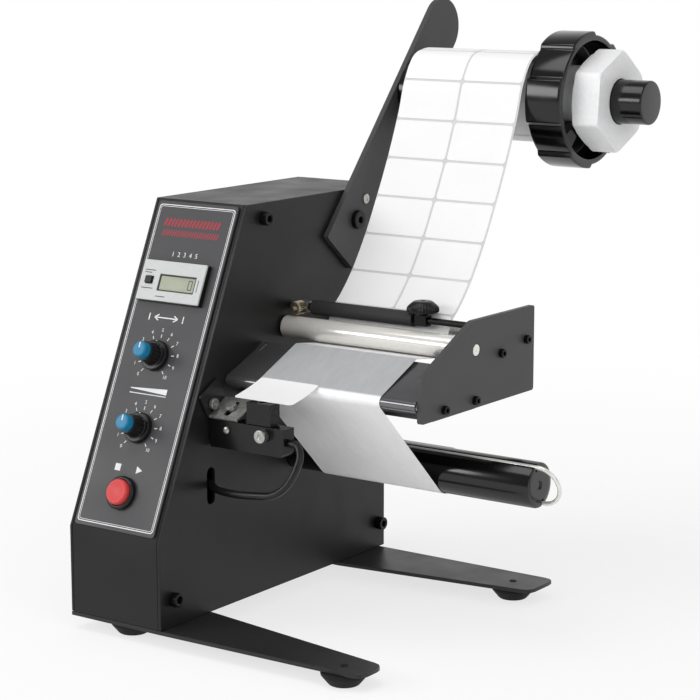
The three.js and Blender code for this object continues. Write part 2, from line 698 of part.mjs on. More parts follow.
// Front, sloped, top and rear walls in one folded sheet, with threaded blocks in its corners
function caseShell() {
  const lowFold = SHEET * Math.tan((Math.PI / 2 - PANEL_TILT) / 2);
  const topFold = SHEET * Math.tan(PANEL_TILT / 2);
  const inner = [
    [SHEET, CASE_BOTTOM - OVERRUN],
    [CASE_DEPTH - SHEET, CASE_BOTTOM - OVERRUN],
    [CASE_DEPTH - SHEET, CASE_TOP - SHEET],
    [PANEL_RUN + topFold, CASE_TOP - SHEET],
    [SHEET, PANEL_FOOT - lowFold],
  ];
  const walls = cut(
    prismX(CASE_OUTLINE, SHELL_LEFT, SHELL_RIGHT),
    prismX(inner, SHELL_LEFT - OVERRUN, SHELL_RIGHT + OVERRUN),
  );
  const half = BOSS_SIZE / 2;
  const [topScrew, frontScrew, rearScrew] = SIDE_SCREWS;
  const bosses = [
    { at: topScrew, z1: CASE_TOP - SHEET / 2 },
    { at: frontScrew, y0: SHEET / 2 },
    { at: rearScrew, y1: CASE_DEPTH - SHEET / 2 },
  ].map(({ at: [y, z], y0 = y - half, y1 = y + half, z1 = z + half }) =>
    block(SHELL_RIGHT - BOSS_DEPTH, SHELL_RIGHT, y0, y1, z - half, z1),
  );
  const bores = SIDE_SCREWS.map((place) =>
    drillX(SCREW_SHANK_RADIUS + FIT, SHELL_RIGHT - BOSS_DEPTH - OVERRUN, SHELL_RIGHT + OVERRUN, place),
  );
  const face = panelCuts(-SHEET - OVERRUN, OVERRUN).map((tool) => moved(tool, panel.matrix));
  const inlet = block(
    INLET_BODY.x0 - FIT,
    INLET_BODY.x1 + FIT,
    CASE_DEPTH - SHEET - OVERRUN,
    CASE_DEPTH + OVERRUN,
    INLET_BODY.z0 - FIT,
    INLET_BODY.z1 + FIT,
  );
  return cut(joined(walls, ...bosses), ...bores, ...face, inlet);
}

function leftSidePlate() {
  const plate = prismX(CASE_OUTLINE, -CASE_WIDTH, -CASE_WIDTH + SIDE_SHEET);
  const vents = Array.from({ length: VENT_COUNT }, (_, i) => {
    const bottom = rise(VENT_BOTTOM) + i * VENT_PITCH;
    const outline = rectangle(VENT_FRONT, VENT_FRONT + VENT_LENGTH, bottom, bottom + VENT_HEIGHT);
    return prismX(outline, -CASE_WIDTH - OVERRUN, -CASE_WIDTH + SIDE_SHEET + OVERRUN);
  });
  return cut(plate, ...vents);
}

function rightSidePlate() {
  const through = [WALL_INNER - OVERRUN, OVERRUN];
  const drill = (radius, place, steps) => drillX(radius, ...through, place, steps);
  const nut = drillX(ARM_NUT_RADIUS, WALL_INNER - ARM_NUT_HEIGHT, WALL_INNER + SIDE_SHEET / 2, ARM_BOLT_AT);
  const boltHole = drillX(
    ARM_BOLT_RADIUS + FIT,
    WALL_INNER - ARM_NUT_HEIGHT - OVERRUN,
    OVERRUN,
    ARM_BOLT_AT,
  );
  const slotMiddle = HOLDER_FRONT + WALL_SLOT_BACK;
  const slotTop = HOLDER_BOTTOM - WALL_SLOT_DROP;
  const slot = rectangle(
    slotMiddle - WALL_SLOT_WIDTH / 2,
    slotMiddle + WALL_SLOT_WIDTH / 2,
    slotTop - WALL_SLOT_LENGTH,
    slotTop,
    WALL_SLOT_WIDTH / 2,
  );
  const rods = BAY_SCREWS.map((place) => drill(ROD_END_RADIUS + FIT, place));
  return cut(
    joined(prismX(CASE_OUTLINE, WALL_INNER, 0), nut),
    boltHole,
    ...SIDE_SCREWS.map((place) => drill(SCREW_SHANK_RADIUS + FIT, place)),
    ...rods,
    drill(ARM_PIN_RADIUS + FIT, ARM_PIN_AT),
    drill(ROLLER_JOURNAL_RADIUS + RUN, ROLLER),
    drill(PRESS_SHAFT_RADIUS + FIT, PRESS),
    drill(REWIND_RADIUS + RUN, REWIND, ROUND_STEPS),
    drill(BRACKET_SCREW_BORE + FIT, BRACKET_SCREW_AT),
    prismX(slot, ...through),
  );
}

const CASE_FEET = [
  [CASE_MIDDLE, CASE_FOOT_SETBACK],
  [CASE_MIDDLE, CASE_DEPTH - CASE_FOOT_MARGIN],
];
const BAR_FEET = [
  [FRONT_BAR_REACH - FRONT_FOOT_INSET, FRONT_FOOT_SETBACK],
  [REAR_BAR_REACH - REAR_FOOT_INSET, CASE_DEPTH - REAR_FOOT_MARGIN],
];
const REAR_BAR_EDGE = CASE_DEPTH - REAR_BAR_MARGIN;
const FRONT_BAR_OUTLINE = [
  [-CASE_WIDTH, 0],
  [0, 0],
  [FRONT_BAR_REACH, FRONT_BAR_END_SETBACK, BAR_CORNER],
  [FRONT_BAR_REACH, FRONT_BAR_END_SETBACK + FRONT_BAR_END_WIDTH, BAR_CORNER],
  [0, BAR_ROOT_WIDTH],
  [-CASE_WIDTH, BAR_ROOT_WIDTH],
];
const REAR_BAR_OUTLINE = [
  [-CASE_WIDTH, REAR_BAR_EDGE],
  [REAR_BAR_REACH, REAR_BAR_EDGE, BAR_CORNER],
  [REAR_BAR_REACH, REAR_BAR_EDGE - REAR_BAR_END_WIDTH, BAR_CORNER],
  [0, REAR_BAR_EDGE - BAR_ROOT_WIDTH],
  [-CASE_WIDTH, REAR_BAR_EDGE - BAR_ROOT_WIDTH],
];

function basePlate() {
  const plate = block(
    SHELL_LEFT,
    SHELL_RIGHT,
    SHEET + FIT,
    CASE_DEPTH - SHEET - FIT,
    CASE_BOTTOM + FIT,
    CASE_BOTTOM + BASE_SHEET,
  );
  const holes = CASE_FEET.map((place) =>
    turnedZ(
      rod(FOOT_STUD_RADIUS + FIT, CASE_BOTTOM - OVERRUN, CASE_BOTTOM + BASE_SHEET + OVERRUN),
      place,
      SMALL_ROUND_STEPS,
    ),
  );
  return cut(plate, ...holes);
}

// Tapered flat bar under the case, with holes for its two feet
function footBar(outline, feet) {
  const holes = feet.map((place) =>
    turnedZ(
      rod(FOOT_STUD_RADIUS + FIT, FOOT_HEIGHT - OVERRUN, CASE_BOTTOM + OVERRUN),
      place,
      SMALL_ROUND_STEPS,
    ),
  );
  return cut(prismZ(outline, FOOT_HEIGHT + FIT, CASE_BOTTOM - FIT), ...holes);
}

function rubberFoot(place, reach) {
  return turnedZ(
    [
      [0, 0],
      [FOOT_BASE_RADIUS, 0],
      [FOOT_TOP_RADIUS, FOOT_HEIGHT - FOOT_LIP],
      [FOOT_TOP_RADIUS, FOOT_HEIGHT],
      [FOOT_STUD_RADIUS, FOOT_HEIGHT],
      [FOOT_STUD_RADIUS, CASE_BOTTOM + reach],
      [0, CASE_BOTTOM + reach],
    ],
    place,
    SMALL_ROUND_STEPS,
  );
}

// Arm, drawn upright from its lower end and then leant back
function rollArm() {
  const half = ARM_WIDTH / 2;
  const shape = new THREE.Shape();
  shape.moveTo(-half, ARM_CORNER);
  shape.quadraticCurveTo(-half, 0, -half + ARM_CORNER, 0);
  shape.lineTo(half - ARM_CORNER, 0);
  shape.quadraticCurveTo(half, 0, half, ARM_CORNER);
  shape.absarc(0, ARM_LENGTH - half, half, 0, Math.PI, false);
  shape.closePath();
  const flat = new THREE.ExtrudeGeometry(shape, {
    depth: ARM_THICKNESS - FIT,
    bevelEnabled: false,
    curveSegments: SMALL_ROUND_STEPS,
  });
  const arm = solid(
    flat
      .rotateZ(-ARM_LEAN)
      .applyMatrix4(AXES_X)
      .translate(FIT, ...ARM_END),
  );
  const through = [-OVERRUN, ARM_THICKNESS + OVERRUN];
  return cut(
    arm,
    drillX(ARM_BOLT_RADIUS + FIT, ...through, ARM_BOLT_AT),
    drillX(ARM_PIN_RADIUS + FIT, ...through, ARM_PIN_AT),
    drillX(SPINDLE_JOURNAL_RADIUS + RUN, ...through, SPINDLE),
  );
}

function armPin() {
  return drillX(ARM_PIN_RADIUS, WALL_INNER, ARM_THICKNESS + ARM_PIN_PROUD, ARM_PIN_AT);
}

const SHOULDER_START = ARM_THICKNESS + RUN;

function spindleShaft() {
  return turnedX(
    [
      [0, -SPINDLE_JOURNAL_TAIL],
      [SPINDLE_JOURNAL_RADIUS, -SPINDLE_JOURNAL_TAIL],
      [SPINDLE_JOURNAL_RADIUS, SHOULDER_START],
      [SHOULDER_RADIUS, SHOULDER_START],
      [SHOULDER_RADIUS, WEB_START - FIT],
      [SPINDLE_RADIUS, WEB_START - FIT],
      [SPINDLE_RADIUS, SPINDLE_END - SPINDLE_CHAMFER],
      [SPINDLE_RADIUS - SPINDLE_CHAMFER, SPINDLE_END],
      [0, SPINDLE_END],
    ],
    SPINDLE,
  );
}

function spindleNut() {
  const start = -RUN - SPINDLE_NUT_HEIGHT;
  const hex = prismX(hexagon(SPINDLE_NUT_FLATS, SPINDLE), start, -RUN);
  return cut(hex, drillX(SPINDLE_JOURNAL_RADIUS + FIT, start - OVERRUN, OVERRUN, SPINDLE, ROUND_STEPS));
}

const CORE_INNER = SPINDLE_RADIUS + FIT;
const CORE_OUTER = CORE_INNER + CORE_WALL;

function rollCore() {
  return turnedX(ring(CORE_INNER, CORE_OUTER, WEB_START, WEB_END), SPINDLE);
}

function labelRoll() {
  return turnedX(ring(CORE_OUTER + FIT, ROLL_RADIUS, WEB_START, WEB_END), SPINDLE);
}

// A piece of ring drawn out along X, from one angle to another round the spindle
function sector(inner, outer, from, to, x0, x1) {
  const shape = new THREE.Shape();
  shape.absarc(0, 0, outer, from, to, false);
  shape.absarc(0, 0, inner, to, from, true);
  shape.closePath();
  return solid(
    extruded(shape, x1 - x0).applyMatrix4(AXES_X).translate(x0, ...SPINDLE),
  );
}

function hubRing() {
  const inner = HUB_RADIUS - HUB_WALL;
  const floor = HUB_START + HUB_FLOOR;
  const cup = turnedX(
    [
      [SPINDLE_RADIUS + RUN, HUB_START],
      [HUB_RADIUS, HUB_START],
      [HUB_RADIUS, HUB_END],
      [inner, HUB_END],
      [inner, floor],
      [SPINDLE_RADIUS + RUN, floor],
    ],
    SPINDLE,
  );
  const lobes = Array.from({ length: HUB_LOBES }, (_, i) => {
    const from = (HUB_LOBE_TURN_DEG + (i * 360) / HUB_LOBES) * DEG;
    const to = from + HUB_LOBE_DEG * DEG;
    return sector(HUB_RADIUS - HUB_WALL / 2, HUB_RADIUS + HUB_LOBE_HEIGHT, from, to, HUB_START, HUB_END);
  });
  const lug = sector(
    inner - HUB_LUG_DEPTH,
    inner + HUB_WALL / 2,
    HUB_LUG_TURN_DEG * DEG,
    (HUB_LUG_TURN_DEG + HUB_LUG_DEG) * DEG,
    HUB_END - HUB_LUG_LENGTH,
    HUB_END,
  );
  const slitTop = HUB_RADIUS + HUB_LOBE_HEIGHT + OVERRUN;
  const slitBottom = inner - OVERRUN;
  const slit = new THREE.BoxGeometry(HUB_LENGTH, slitTop - slitBottom, HUB_SLIT)
    .translate(floor + HUB_LENGTH / 2, (slitTop + slitBottom) / 2, 0)
    .rotateX(HUB_SLIT_DEG * DEG)
    .translate(0, ...SPINDLE);
  return cut(joined(cup, lug, ...lobes), solid(slit));
}

function hubNut() {
  const corner = NUT_FLATS / Math.sqrt(3);
  const outline = hexagon(NUT_FLATS, SPINDLE, Math.PI / 6 + NUT_TURN_DEG * DEG);
  const hex = prismX(outline, NUT_HEX_START, NUT_END);
  const trim = turnedX(
    [
      [0, NUT_HEX_START - OVERRUN],
      [corner, NUT_HEX_START - OVERRUN],
      [corner, NUT_END - NUT_CHAMFER],
      [corner - NUT_CHAMFER_RUN, NUT_END],
      [0, NUT_END],
    ],
    SPINDLE,
  );
  const neck = drillX(NUT_NECK_RADIUS, NUT_START, NUT_HEX_START + FIT, SPINDLE, ROUND_STEPS);
  const bore = drillX(SPINDLE_RADIUS + RUN, NUT_START - OVERRUN, NUT_END + OVERRUN, SPINDLE, ROUND_STEPS);
  return cut(joined(hex.intersect(trim), neck), bore);
}

const OUTBOARD_OUTER = BAY_WIDTH + OUTBOARD_SHEET;

function outboardPlate() {
  const outline = [
    [...inBay(0, 0), OUTBOARD_CORNER],
    [...inBay(OUTBOARD_DEPTH, 0), OUTBOARD_CORNER],
    [...inBay(OUTBOARD_DEPTH, OUTBOARD_HEIGHT), OUTBOARD_CORNER],
    [...inBay(OUTBOARD_CHAMFER_BACK, OUTBOARD_HEIGHT), OUTBOARD_CORNER],
    [...inBay(0, OUTBOARD_NOSE_HEIGHT), OUTBOARD_CORNER],
  ];
  const through = [BAY_WIDTH - OVERRUN, OUTBOARD_OUTER + OVERRUN];
  return cut(
    prismX(outline, BAY_WIDTH, OUTBOARD_OUTER),
    ...BAY_SCREWS.map((place) => drillX(BAY_SCREW_SHANK_RADIUS + FIT, ...through, place)),
    drillX(ROLLER_JOURNAL_RADIUS + RUN, ...through, ROLLER),
    drillX(PRESS_SHAFT_RADIUS + FIT, BAY_WIDTH - OVERRUN, BAY_WIDTH + PRESS_SOCKET_DEPTH + FIT, PRESS),
  );
}

const BAY_START = FIT;
const BAY_END = BAY_WIDTH - FIT;

// Folded tray that ties the outboard plate to the right wall and carries the peel plate
function crossTray() {
  const floor = block(BAY_START, BAY_END, TRAY_FRONT, TRAY_REAR, TRAY_BOTTOM, TRAY_TOP);
  const flange = (x0, x1) =>
    block(x0, x1, TRAY_FRONT, TRAY_REAR, TRAY_BOTTOM, TRAY_BOTTOM + TRAY_FLANGE);
  const places = [BAY_SCREWS[2], BAY_SCREWS[3]];
  const nuts = places.map((place) =>
    drillX(TRAY_NUT_RADIUS, BAY_END - TRAY_SHEET - TRAY_NUT_LENGTH, BAY_END, place),
  );
  const stubs = places.map((place) =>
    drillX(ROD_END_RADIUS, -ROD_END_LENGTH, BAY_START + TRAY_SHEET / 2, place),
  );
  const bores = places.map((place) =>
    drillX(
      BAY_SCREW_SHANK_RADIUS + FIT,
      BAY_END - TRAY_SHEET - TRAY_NUT_LENGTH - OVERRUN,
      BAY_END + OVERRUN,
      place,
    ),
  );
  const body = joined(
    floor,
    flange(BAY_START, BAY_START + TRAY_SHEET),
    flange(BAY_END - TRAY_SHEET, BAY_END),
    ...nuts,
    ...stubs,
  );
  return cut(body, ...bores);
}

// Round rod across the bay, its stub in the right wall, its other end tapped for a screw
function tieRod(place) {
  const body = turnedX(
    [
      [0, -ROD_END_LENGTH],
      [ROD_END_RADIUS, -ROD_END_LENGTH],
      [ROD_END_RADIUS, BAY_START],
      [ROD_RADIUS, BAY_START],
      [ROD_RADIUS, BAY_END],
      [0, BAY_END],
    ],
    place,
    SMALL_ROUND_STEPS,
  );
  const bore = drillX(
    BAY_SCREW_SHANK_RADIUS + FIT,
    OUTBOARD_OUTER - BAY_SCREW_SHANK_LENGTH - OVERRUN,
    BAY_END + OVERRUN,
    place,
  );
  return cut(body, bore);
}

const PEEL_SLOPE = PEEL_SLOPE_DEG * DEG;
// Point of the peel plate's upper face, or this far over it, at a distance behind the front face
function overPeel(setback, height = 0) {
  const lift = (PEEL_NOSE_RADIUS + height) / Math.cos(PEEL_SLOPE);
  return [setback, NOSE[1] + lift + (setback - NOSE[0]) * Math.tan(PEEL_SLOPE)];
}

function peelPlate() {
  const inner = PEEL_NOSE_RADIUS - PEEL_SHEET;
  const start = Math.PI / 2 + PEEL_SLOPE;
  const end = (Math.PI * 3) / 2;
  const shape = new THREE.Shape();
  shape.moveTo(...overPeel(PEEL_REAR));
  shape.absarc(...NOSE, PEEL_NOSE_RADIUS, start, end, false);
  shape.lineTo(NOSE[0] + PEEL_HEM, NOSE[1] - PEEL_NOSE_RADIUS);
  shape.lineTo(NOSE[0] + PEEL_HEM, NOSE[1] - inner);
  shape.absarc(...NOSE, inner, end, start, true);
  shape.lineTo(...overPeel(PEEL_REAR, -PEEL_SHEET));
  shape.closePath();
  const sheet = new THREE.ExtrudeGeometry(shape, {
    depth: BAY_END - BAY_START,
    bevelEnabled: false,
    curveSegments: HALF_ROUND_STEPS,
  });
  const flangeRear = PEEL_REAR - PEEL_FLANGE_INSET;
  const flangeFront = flangeRear - PEEL_FLANGE_WIDTH;
  const flangeOutline = [
    [flangeFront, TRAY_TOP + FIT],
    [flangeRear, TRAY_TOP + FIT],
    overPeel(flangeRear, -PEEL_SHEET / 2),
    overPeel(flangeFront, -PEEL_SHEET / 2),
  ];
  const flange = (start) => prismX(flangeOutline, start, start + PEEL_SHEET);
  return joined(
    solid(sheet.applyMatrix4(AXES_X).translate(BAY_START, 0, 0)),
    flange(BAY_START + TRAY_SHEET + FIT),
    flange(BAY_END - TRAY_SHEET - FIT - PEEL_SHEET),
  );
}

function guideRoller() {
  return turnedX(
    [
      [0, -ROLLER_TAIL],
      [ROLLER_JOURNAL_RADIUS, -ROLLER_TAIL],
      [ROLLER_JOURNAL_RADIUS, ROLLER_SIDE_GAP],
      [ROLLER_RADIUS, ROLLER_SIDE_GAP],
      [ROLLER_RADIUS, BAY_WIDTH - ROLLER_SIDE_GAP],
      [ROLLER_JOURNAL_RADIUS, BAY_WIDTH - ROLLER_SIDE_GAP],
      [ROLLER_JOURNAL_RADIUS, OUTBOARD_OUTER],
      [0, OUTBOARD_OUTER],
    ],
    ROLLER,
  );
}

function pressShaft() {
  const end = BAY_WIDTH + PRESS_SOCKET_DEPTH;
  return drillX(PRESS_SHAFT_RADIUS, -PRESS_SHAFT_TAIL, end, PRESS);
}

function pressRoller() {
  return turnedX(
    ring(PRESS_SHAFT_RADIUS + RUN, PRESS_ROLLER_RADIUS, PRESS_ROLLER_START, PRESS_ROLLER_END),
    PRESS,
    SMALL_ROUND_STEPS,
  );
}

const BLOCK_TOP = PRESS[1] + BLOCK_SIZE / 2;
const STEM_END = PRESS[1] + PRESS_SHAFT_RADIUS + FIT; // the stem's tip bears on the shaft

// Small block on the press shaft, held by a thumb screw from above or from the front
function guideBlock(start, fromFront) {
  const half = BLOCK_SIZE / 2;
  const middle = start + BLOCK_WIDTH / 2;
  const [y, z] = PRESS;
  const body = block(start, start + BLOCK_WIDTH, y - half, y + half, z - half, BLOCK_TOP);
  const bore = drillX(PRESS_SHAFT_RADIUS + FIT, start - OVERRUN, start + BLOCK_WIDTH + OVERRUN, PRESS);
  const bit = THUMB_STEM_RADIUS + FIT;
  const stemHole = fromFront
    ? turnedForward(rod(bit, 0, half + OVERRUN), [middle, ...PRESS])
    : turnedZ(rod(bit, z, BLOCK_TOP + OVERRUN), [middle, y], SMALL_ROUND_STEPS);
  return cut(body, bore, stemHole);
}

function thumbKnob() {
  const neck = BLOCK_TOP + FIT;
  const base = neck + KNOB_NECK_HEIGHT;
  const top = base + KNOB_HEIGHT;
  return turnedZ(
    [
      [0, STEM_END],
      [THUMB_STEM_RADIUS, STEM_END],
      [THUMB_STEM_RADIUS, neck],
      [KNOB_NECK_RADIUS, neck],
      [KNOB_NECK_RADIUS, base],
      [KNOB_RADIUS, base],
      [KNOB_RADIUS, base + KNOB_RIM_HEIGHT],
      [KNOB_CROWN_RADIUS, top],
      [0, top],
    ],
    [RIGHT_BLOCK_START + BLOCK_WIDTH / 2, PRESS[0]],
  );
}

// Knurled screw in the left block's front face, its profile given forward from the press shaft
function knurledScrew() {
  const base = BLOCK_SIZE / 2 + FIT;
  const end = base + KNURLED_LENGTH;
  const profile = [
    [0, PRESS_SHAFT_RADIUS + FIT],
    [THUMB_STEM_RADIUS, PRESS_SHAFT_RADIUS + FIT],
    [THUMB_STEM_RADIUS, base],
    [KNURLED_RADIUS - KNURLED_CHAMFER, base],
    [KNURLED_RADIUS, base + KNURLED_CHAMFER],
    [KNURLED_RADIUS, end - KNURLED_CHAMFER],
    [KNURLED_RADIUS - KNURLED_CHAMFER, end],
    [KNURLED_TIP_RADIUS, end],
    [KNURLED_TIP_RADIUS, end + KNURLED_TIP_LENGTH],
    [0, end + KNURLED_TIP_LENGTH],
  ];
  return turnedForward(profile, [LEFT_BLOCK_START + BLOCK_WIDTH / 2, ...PRESS]);
}

// The web's path in (y, z) as it runs round circles. Each circle lies to the left of the web
// where side is 1 and to its right where side is -1.
function tangent(a, b) {
  const dy = b.at[0] - a.at[0];
  const dz = b.at[1] - a.at[1];
  const lean = Math.acos((b.side * b.radius - a.side * a.radius) / Math.hypot(dy, dz));
  return Math.atan2(dz, dy) + lean;
}

function touching({ at, radius, side }, angle) {
  return [at[0] - side * radius * Math.cos(angle), at[1] - side * radius * Math.sin(angle)];
}

function around(circle, from, to) {
  const full = Math.PI * 2;
  const turn = ((((to - from) * circle.side) % full) + full) % full;
  const steps = Math.max(1, Math.ceil(turn / (WEB_STEP_DEG * DEG)));
  return Array.from({ length: steps + 1 }, (_, i) =>
    touching(circle, from + (circle.side * turn * i) / steps),
  );
}

const offWeb = WEB_STAND_OFF + WEB_THICKNESS / 2;
const PEEL_EDGE = overPeel(PEEL_REAR - PEEL_EDGE_RADIUS, -PEEL_EDGE_RADIUS);
const WEB_CIRCLES = [
  { at: PRESS, radius: PRESS_ROLLER_RADIUS + offWeb, side: -1 },
  { at: ROLLER, radius: ROLLER_RADIUS + offWeb, side: -1 },
  { at: PEEL_EDGE, radius: PEEL_EDGE_RADIUS + offWeb, side: 1 },
  { at: NOSE, radius: PEEL_NOSE_RADIUS + offWeb, side: 1 },
  { at: REWIND, radius: REWIND_RADIUS + offWeb, side: 1 },
];

function webPath() {
  const top = [SPINDLE[0], SPINDLE[1] + ROLL_RADIUS + offWeb];
  const foot = touching(WEB_CIRCLES[0], 0);
  const bend = WEB_FALL_SHARES.map(([run, drop]) => [
    foot[0] + run * (top[0] - foot[0]),
    foot[1] + drop * (top[1] - foot[1]),
  ]);
  const controls = [top, ...bend, foot].map(([y, z]) => new THREE.Vector3(y, z, 0));
  const fall = new THREE.CatmullRomCurve3(controls, false, "centripetal");
  const points = fall.getSpacedPoints(FALL_STEPS).map(({ x, y }) => [x, y]);
  let arriving = 0;
  WEB_CIRCLES.forEach((circle, i) => {
    const next = WEB_CIRCLES[i + 1];
    const leaving = next ? tangent(circle, next) : arriving + LINER_WRAP_DEG * DEG;
    points.push(...around(circle, arriving, leaving).slice(i ? 0 : 1));
    arriving = leaving;
  });
  return points;
}

// A strip of even thickness along a path in (y, z), from x0 to x1
function strip(path, thickness, x0, x1) {
  const sides = path.map(([y, z], i) => {
    const before = path[Math.max(i - 1, 0)];
    const after = path[Math.min(i + 1, path.length - 1)];
    const dy = after[0] - before[0];
    const dz = after[1] - before[1];
    const half = thickness / 2 / Math.hypot(dy, dz);
    return [
      [y - dz * half, z + dy * half],
      [y + dz * half, z - dy * half],
    ];
  });
  const outline = [...sides.map(([left]) => left), ...sides.map(([, right]) => right).reverse()];
  return prismX(outline, x0, x1);
}

function labelWeb() {
  return strip(webPath(), WEB_THICKNESS, WEB_START, WEB_END);
}

// One label that has left its liner at the nose and reaches forward
function peeledLabel() {
  const standOff = WEB_STAND_OFF * 2 + WEB_THICKNESS + LABEL_THICKNESS / 2;
  const start = overPeel(NOSE[0] - PEEL_NOSE_RADIUS * Math.sin(PEEL_SLOPE), standOff);
  const tip = [start[0] - LABEL_LENGTH, start[1] - LABEL_DROOP];
  const bend = LABEL_LENGTH * LABEL_BEND_SHARE;
  const curve = new THREE.QuadraticBezierCurve(
    new THREE.Vector2(...start),
    new THREE.Vector2(start[0] - bend, start[1] - bend * Math.tan(PEEL_SLOPE)),
    new THREE.Vector2(...tip),
  );
  const path = curve.getPoints(LABEL_STEPS).map(({ x, y }) => [x, y]);
  const left = WEB_START + LABEL_MARGIN;
  return strip(path, LABEL_THICKNESS, left, left + LABEL_WIDTH);
}

const CLIP_TURN = CLIP_TURN_DEG * DEG;

// The clip's wire: along the shaft, round past its end and back on the far side
function clipPath() {
  const point = (x, across) =>
    new THREE.Vector3(
      x,
      REWIND[0] + across * Math.cos(CLIP_TURN),
      REWIND[1] + across * Math.sin(CLIP_TURN),
    );
  const steps = Math.round(CLIP_LEG_LENGTH / CLIP_LEG_STEP);
  const places = Array.from({ length: steps }, (_, i) => CLIP_LEG_START + i * CLIP_LEG_STEP);
  const bend = Array.from({ length: HALF_ROUND_STEPS + 1 }, (_, i) => {
    const angle = (i * Math.PI) / HALF_ROUND_STEPS;
    return point(CLIP_LEG_END + CLIP_RADIUS * Math.sin(angle), CLIP_RADIUS * Math.cos(angle));
  });
  return new THREE.CatmullRomCurve3([
    ...places.map((x) => point(x, CLIP_RADIUS)),
    ...bend,
    ...places.reverse().map((x) => point(x, -CLIP_RADIUS)),
  ]);
}

function tube(path, radius, sides, steps) {
  const section = new THREE.Shape();
  section.setFromPoints(
    Array.from({ length: sides }, (_, i) => {
      const angle = (i * Math.PI * 2) / sides;
      return new THREE.Vector2(radius * Math.cos(angle), radius * Math.sin(angle));
    }),
  );
  return solid(new THREE.ExtrudeGeometry(section, { extrudePath: path, steps, bevelEnabled: false }));
}

function rewindClip() {
  const path = clipPath();
  return tube(path, CLIP_WIRE / 2, CLIP_SIDES, Math.round(path.getLength() / CLIP_STEP));
}

function rewindShaft() {
  const stubEnd = WALL_INNER - FIT - REWIND_STUB_LENGTH;
  const body = turnedX(
    [
      [0, stubEnd],
      [REWIND_STUB_RADIUS, stubEnd],
      [REWIND_STUB_RADIUS, WALL_INNER + FIT],
      [REWIND_RADIUS, WALL_INNER + FIT],
      [REWIND_RADIUS, REWIND_END - REWIND_CHAMFER],
      [REWIND_RADIUS - REWIND_CHAMFER, REWIND_END],
      [0, REWIND_END],
    ],
    REWIND,
  );
  const half = CLIP_WIRE / 2 + RUN;
  const grooves = [CLIP_TURN, CLIP_TURN + Math.PI].map((turn) =>
    solid(
      new THREE.BoxGeometry(REWIND_END - CLIP_LEG_START + OVERRUN * 2, REWIND_RADIUS, half * 2)
        .translate(
          (REWIND_END + CLIP_LEG_START) / 2,
          CLIP_RADIUS - half + REWIND_RADIUS / 2,
          0,
        )
        .rotateX(turn)
        .translate(0, ...REWIND),
    ),
  );
  return cut(body, ...grooves);
}

function gearmotor() {
  const face = WALL_INNER - FIT;
  const motorEnd = -CASE_WIDTH + SIDE_SHEET + MOTOR_CLEARANCE;
  const gearbox = turnedX(
    [
      [0, motorEnd],
      [MOTOR_RADIUS, motorEnd],
      [MOTOR_RADIUS, face - GEARBOX_LENGTH],
      [GEARBOX_RADIUS, face - GEARBOX_LENGTH],
      [GEARBOX_RADIUS, face],
      [0, face],
    ],
    REWIND,
  );
  const bore = drillX(REWIND_STUB_RADIUS + FIT, face - REWIND_STUB_LENGTH - FIT, face + OVERRUN, REWIND);
  return cut(gearbox, bore);
}

// Frame of the sensor's slotted plate: X right, Y up its slope, Z over it
const slope = new THREE.Group();
slope.position.set(0, ...BRACKET_EDGE);
slope.rotation.x = BRACKET_SLOPE_DEG * DEG;
slope.updateMatrix();

const BRACKET_START = FIT + BRACKET_SHEET;
const SLOT_MIDDLE = BRACKET_START + BRACKET_WIDTH / 2;

function sensorBracket() {
  const plate = prismZ(rectangle(FIT, FIT + BRACKET_WIDTH, 0, BRACKET_LENGTH), 0, BRACKET_SHEET);
  const half = BRACKET_SLOT_WIDTH / 2;
  const slotStart = (BRACKET_LENGTH - BRACKET_SLOT_LENGTH) / 2;
  const slot = prismZ(
    rectangle(SLOT_MIDDLE - half, SLOT_MIDDLE + half, slotStart, slotStart + BRACKET_SLOT_LENGTH, half),
    -OVERRUN,
    BRACKET_SHEET + OVERRUN,
  );
  const flange = prismX(
    rectangle(0, BRACKET_LENGTH, 0, BRACKET_FLANGE_HEIGHT, BRACKET_SHEET),
    FIT,
    FIT + BRACKET_SHEET,
  );
  const body = moved(cut(joined(plate, flange), slot), slope.matrix);
  return cut(body, drillX(BRACKET_SCREW_BORE + FIT, -OVERRUN, BRACKET_START + OVERRUN, BRACKET_SCREW_AT));
}

// Dark bar that carries the sensor, with a lug under the slotted plate
function sensorHolder() {
  const front = HOLDER_FRONT;
  const bar = prismY(
    [
      [HOLDER_BOTTOM, HOLDER_START],
      [HOLDER_TOP, HOLDER_START],
      [HOLDER_TOP, HOLDER_END],
      [HOLDER_BOTTOM + HOLDER_CHAMFER, HOLDER_END],
      [HOLDER_BOTTOM, HOLDER_END - HOLDER_CHAMFER],
    ],
    front,
    front + HOLDER_DEPTH,
  );
  const lug = prismZ(
    rectangle(BRACKET_START + FIT, FIT + BRACKET_WIDTH, LUG_THICKNESS, BRACKET_LENGTH),
    -RUN - LUG_THICKNESS,
    -RUN,
  );
  const back = front + HOLDER_DEPTH;
  const neck = block(
    BRACKET_START + FIT,
    FIT + BRACKET_WIDTH,
    back - LUG_NECK_DEPTH,
    back,
    HOLDER_TOP - FIT,
    HOLDER_TOP + LUG_NECK_HEIGHT,
  );
  const clampBore = turnedZ(
    rod(CLAMP_SHANK_RADIUS + FIT, -CLAMP_REACH - FIT, OVERRUN),
    [SLOT_MIDDLE, CLAMP_PLACE],
    SMALL_ROUND_STEPS,
  );
  const screwBore = turnedForward(
    rod(THUMB_SCREW_STEM + FIT, -THUMB_SCREW_STEM_LENGTH - FIT, OVERRUN),
    THUMB_SCREW_AT,
  );
  return cut(joined(bar, moved(lug, slope.matrix), neck), moved(clampBore, slope.matrix), screwBore);
}

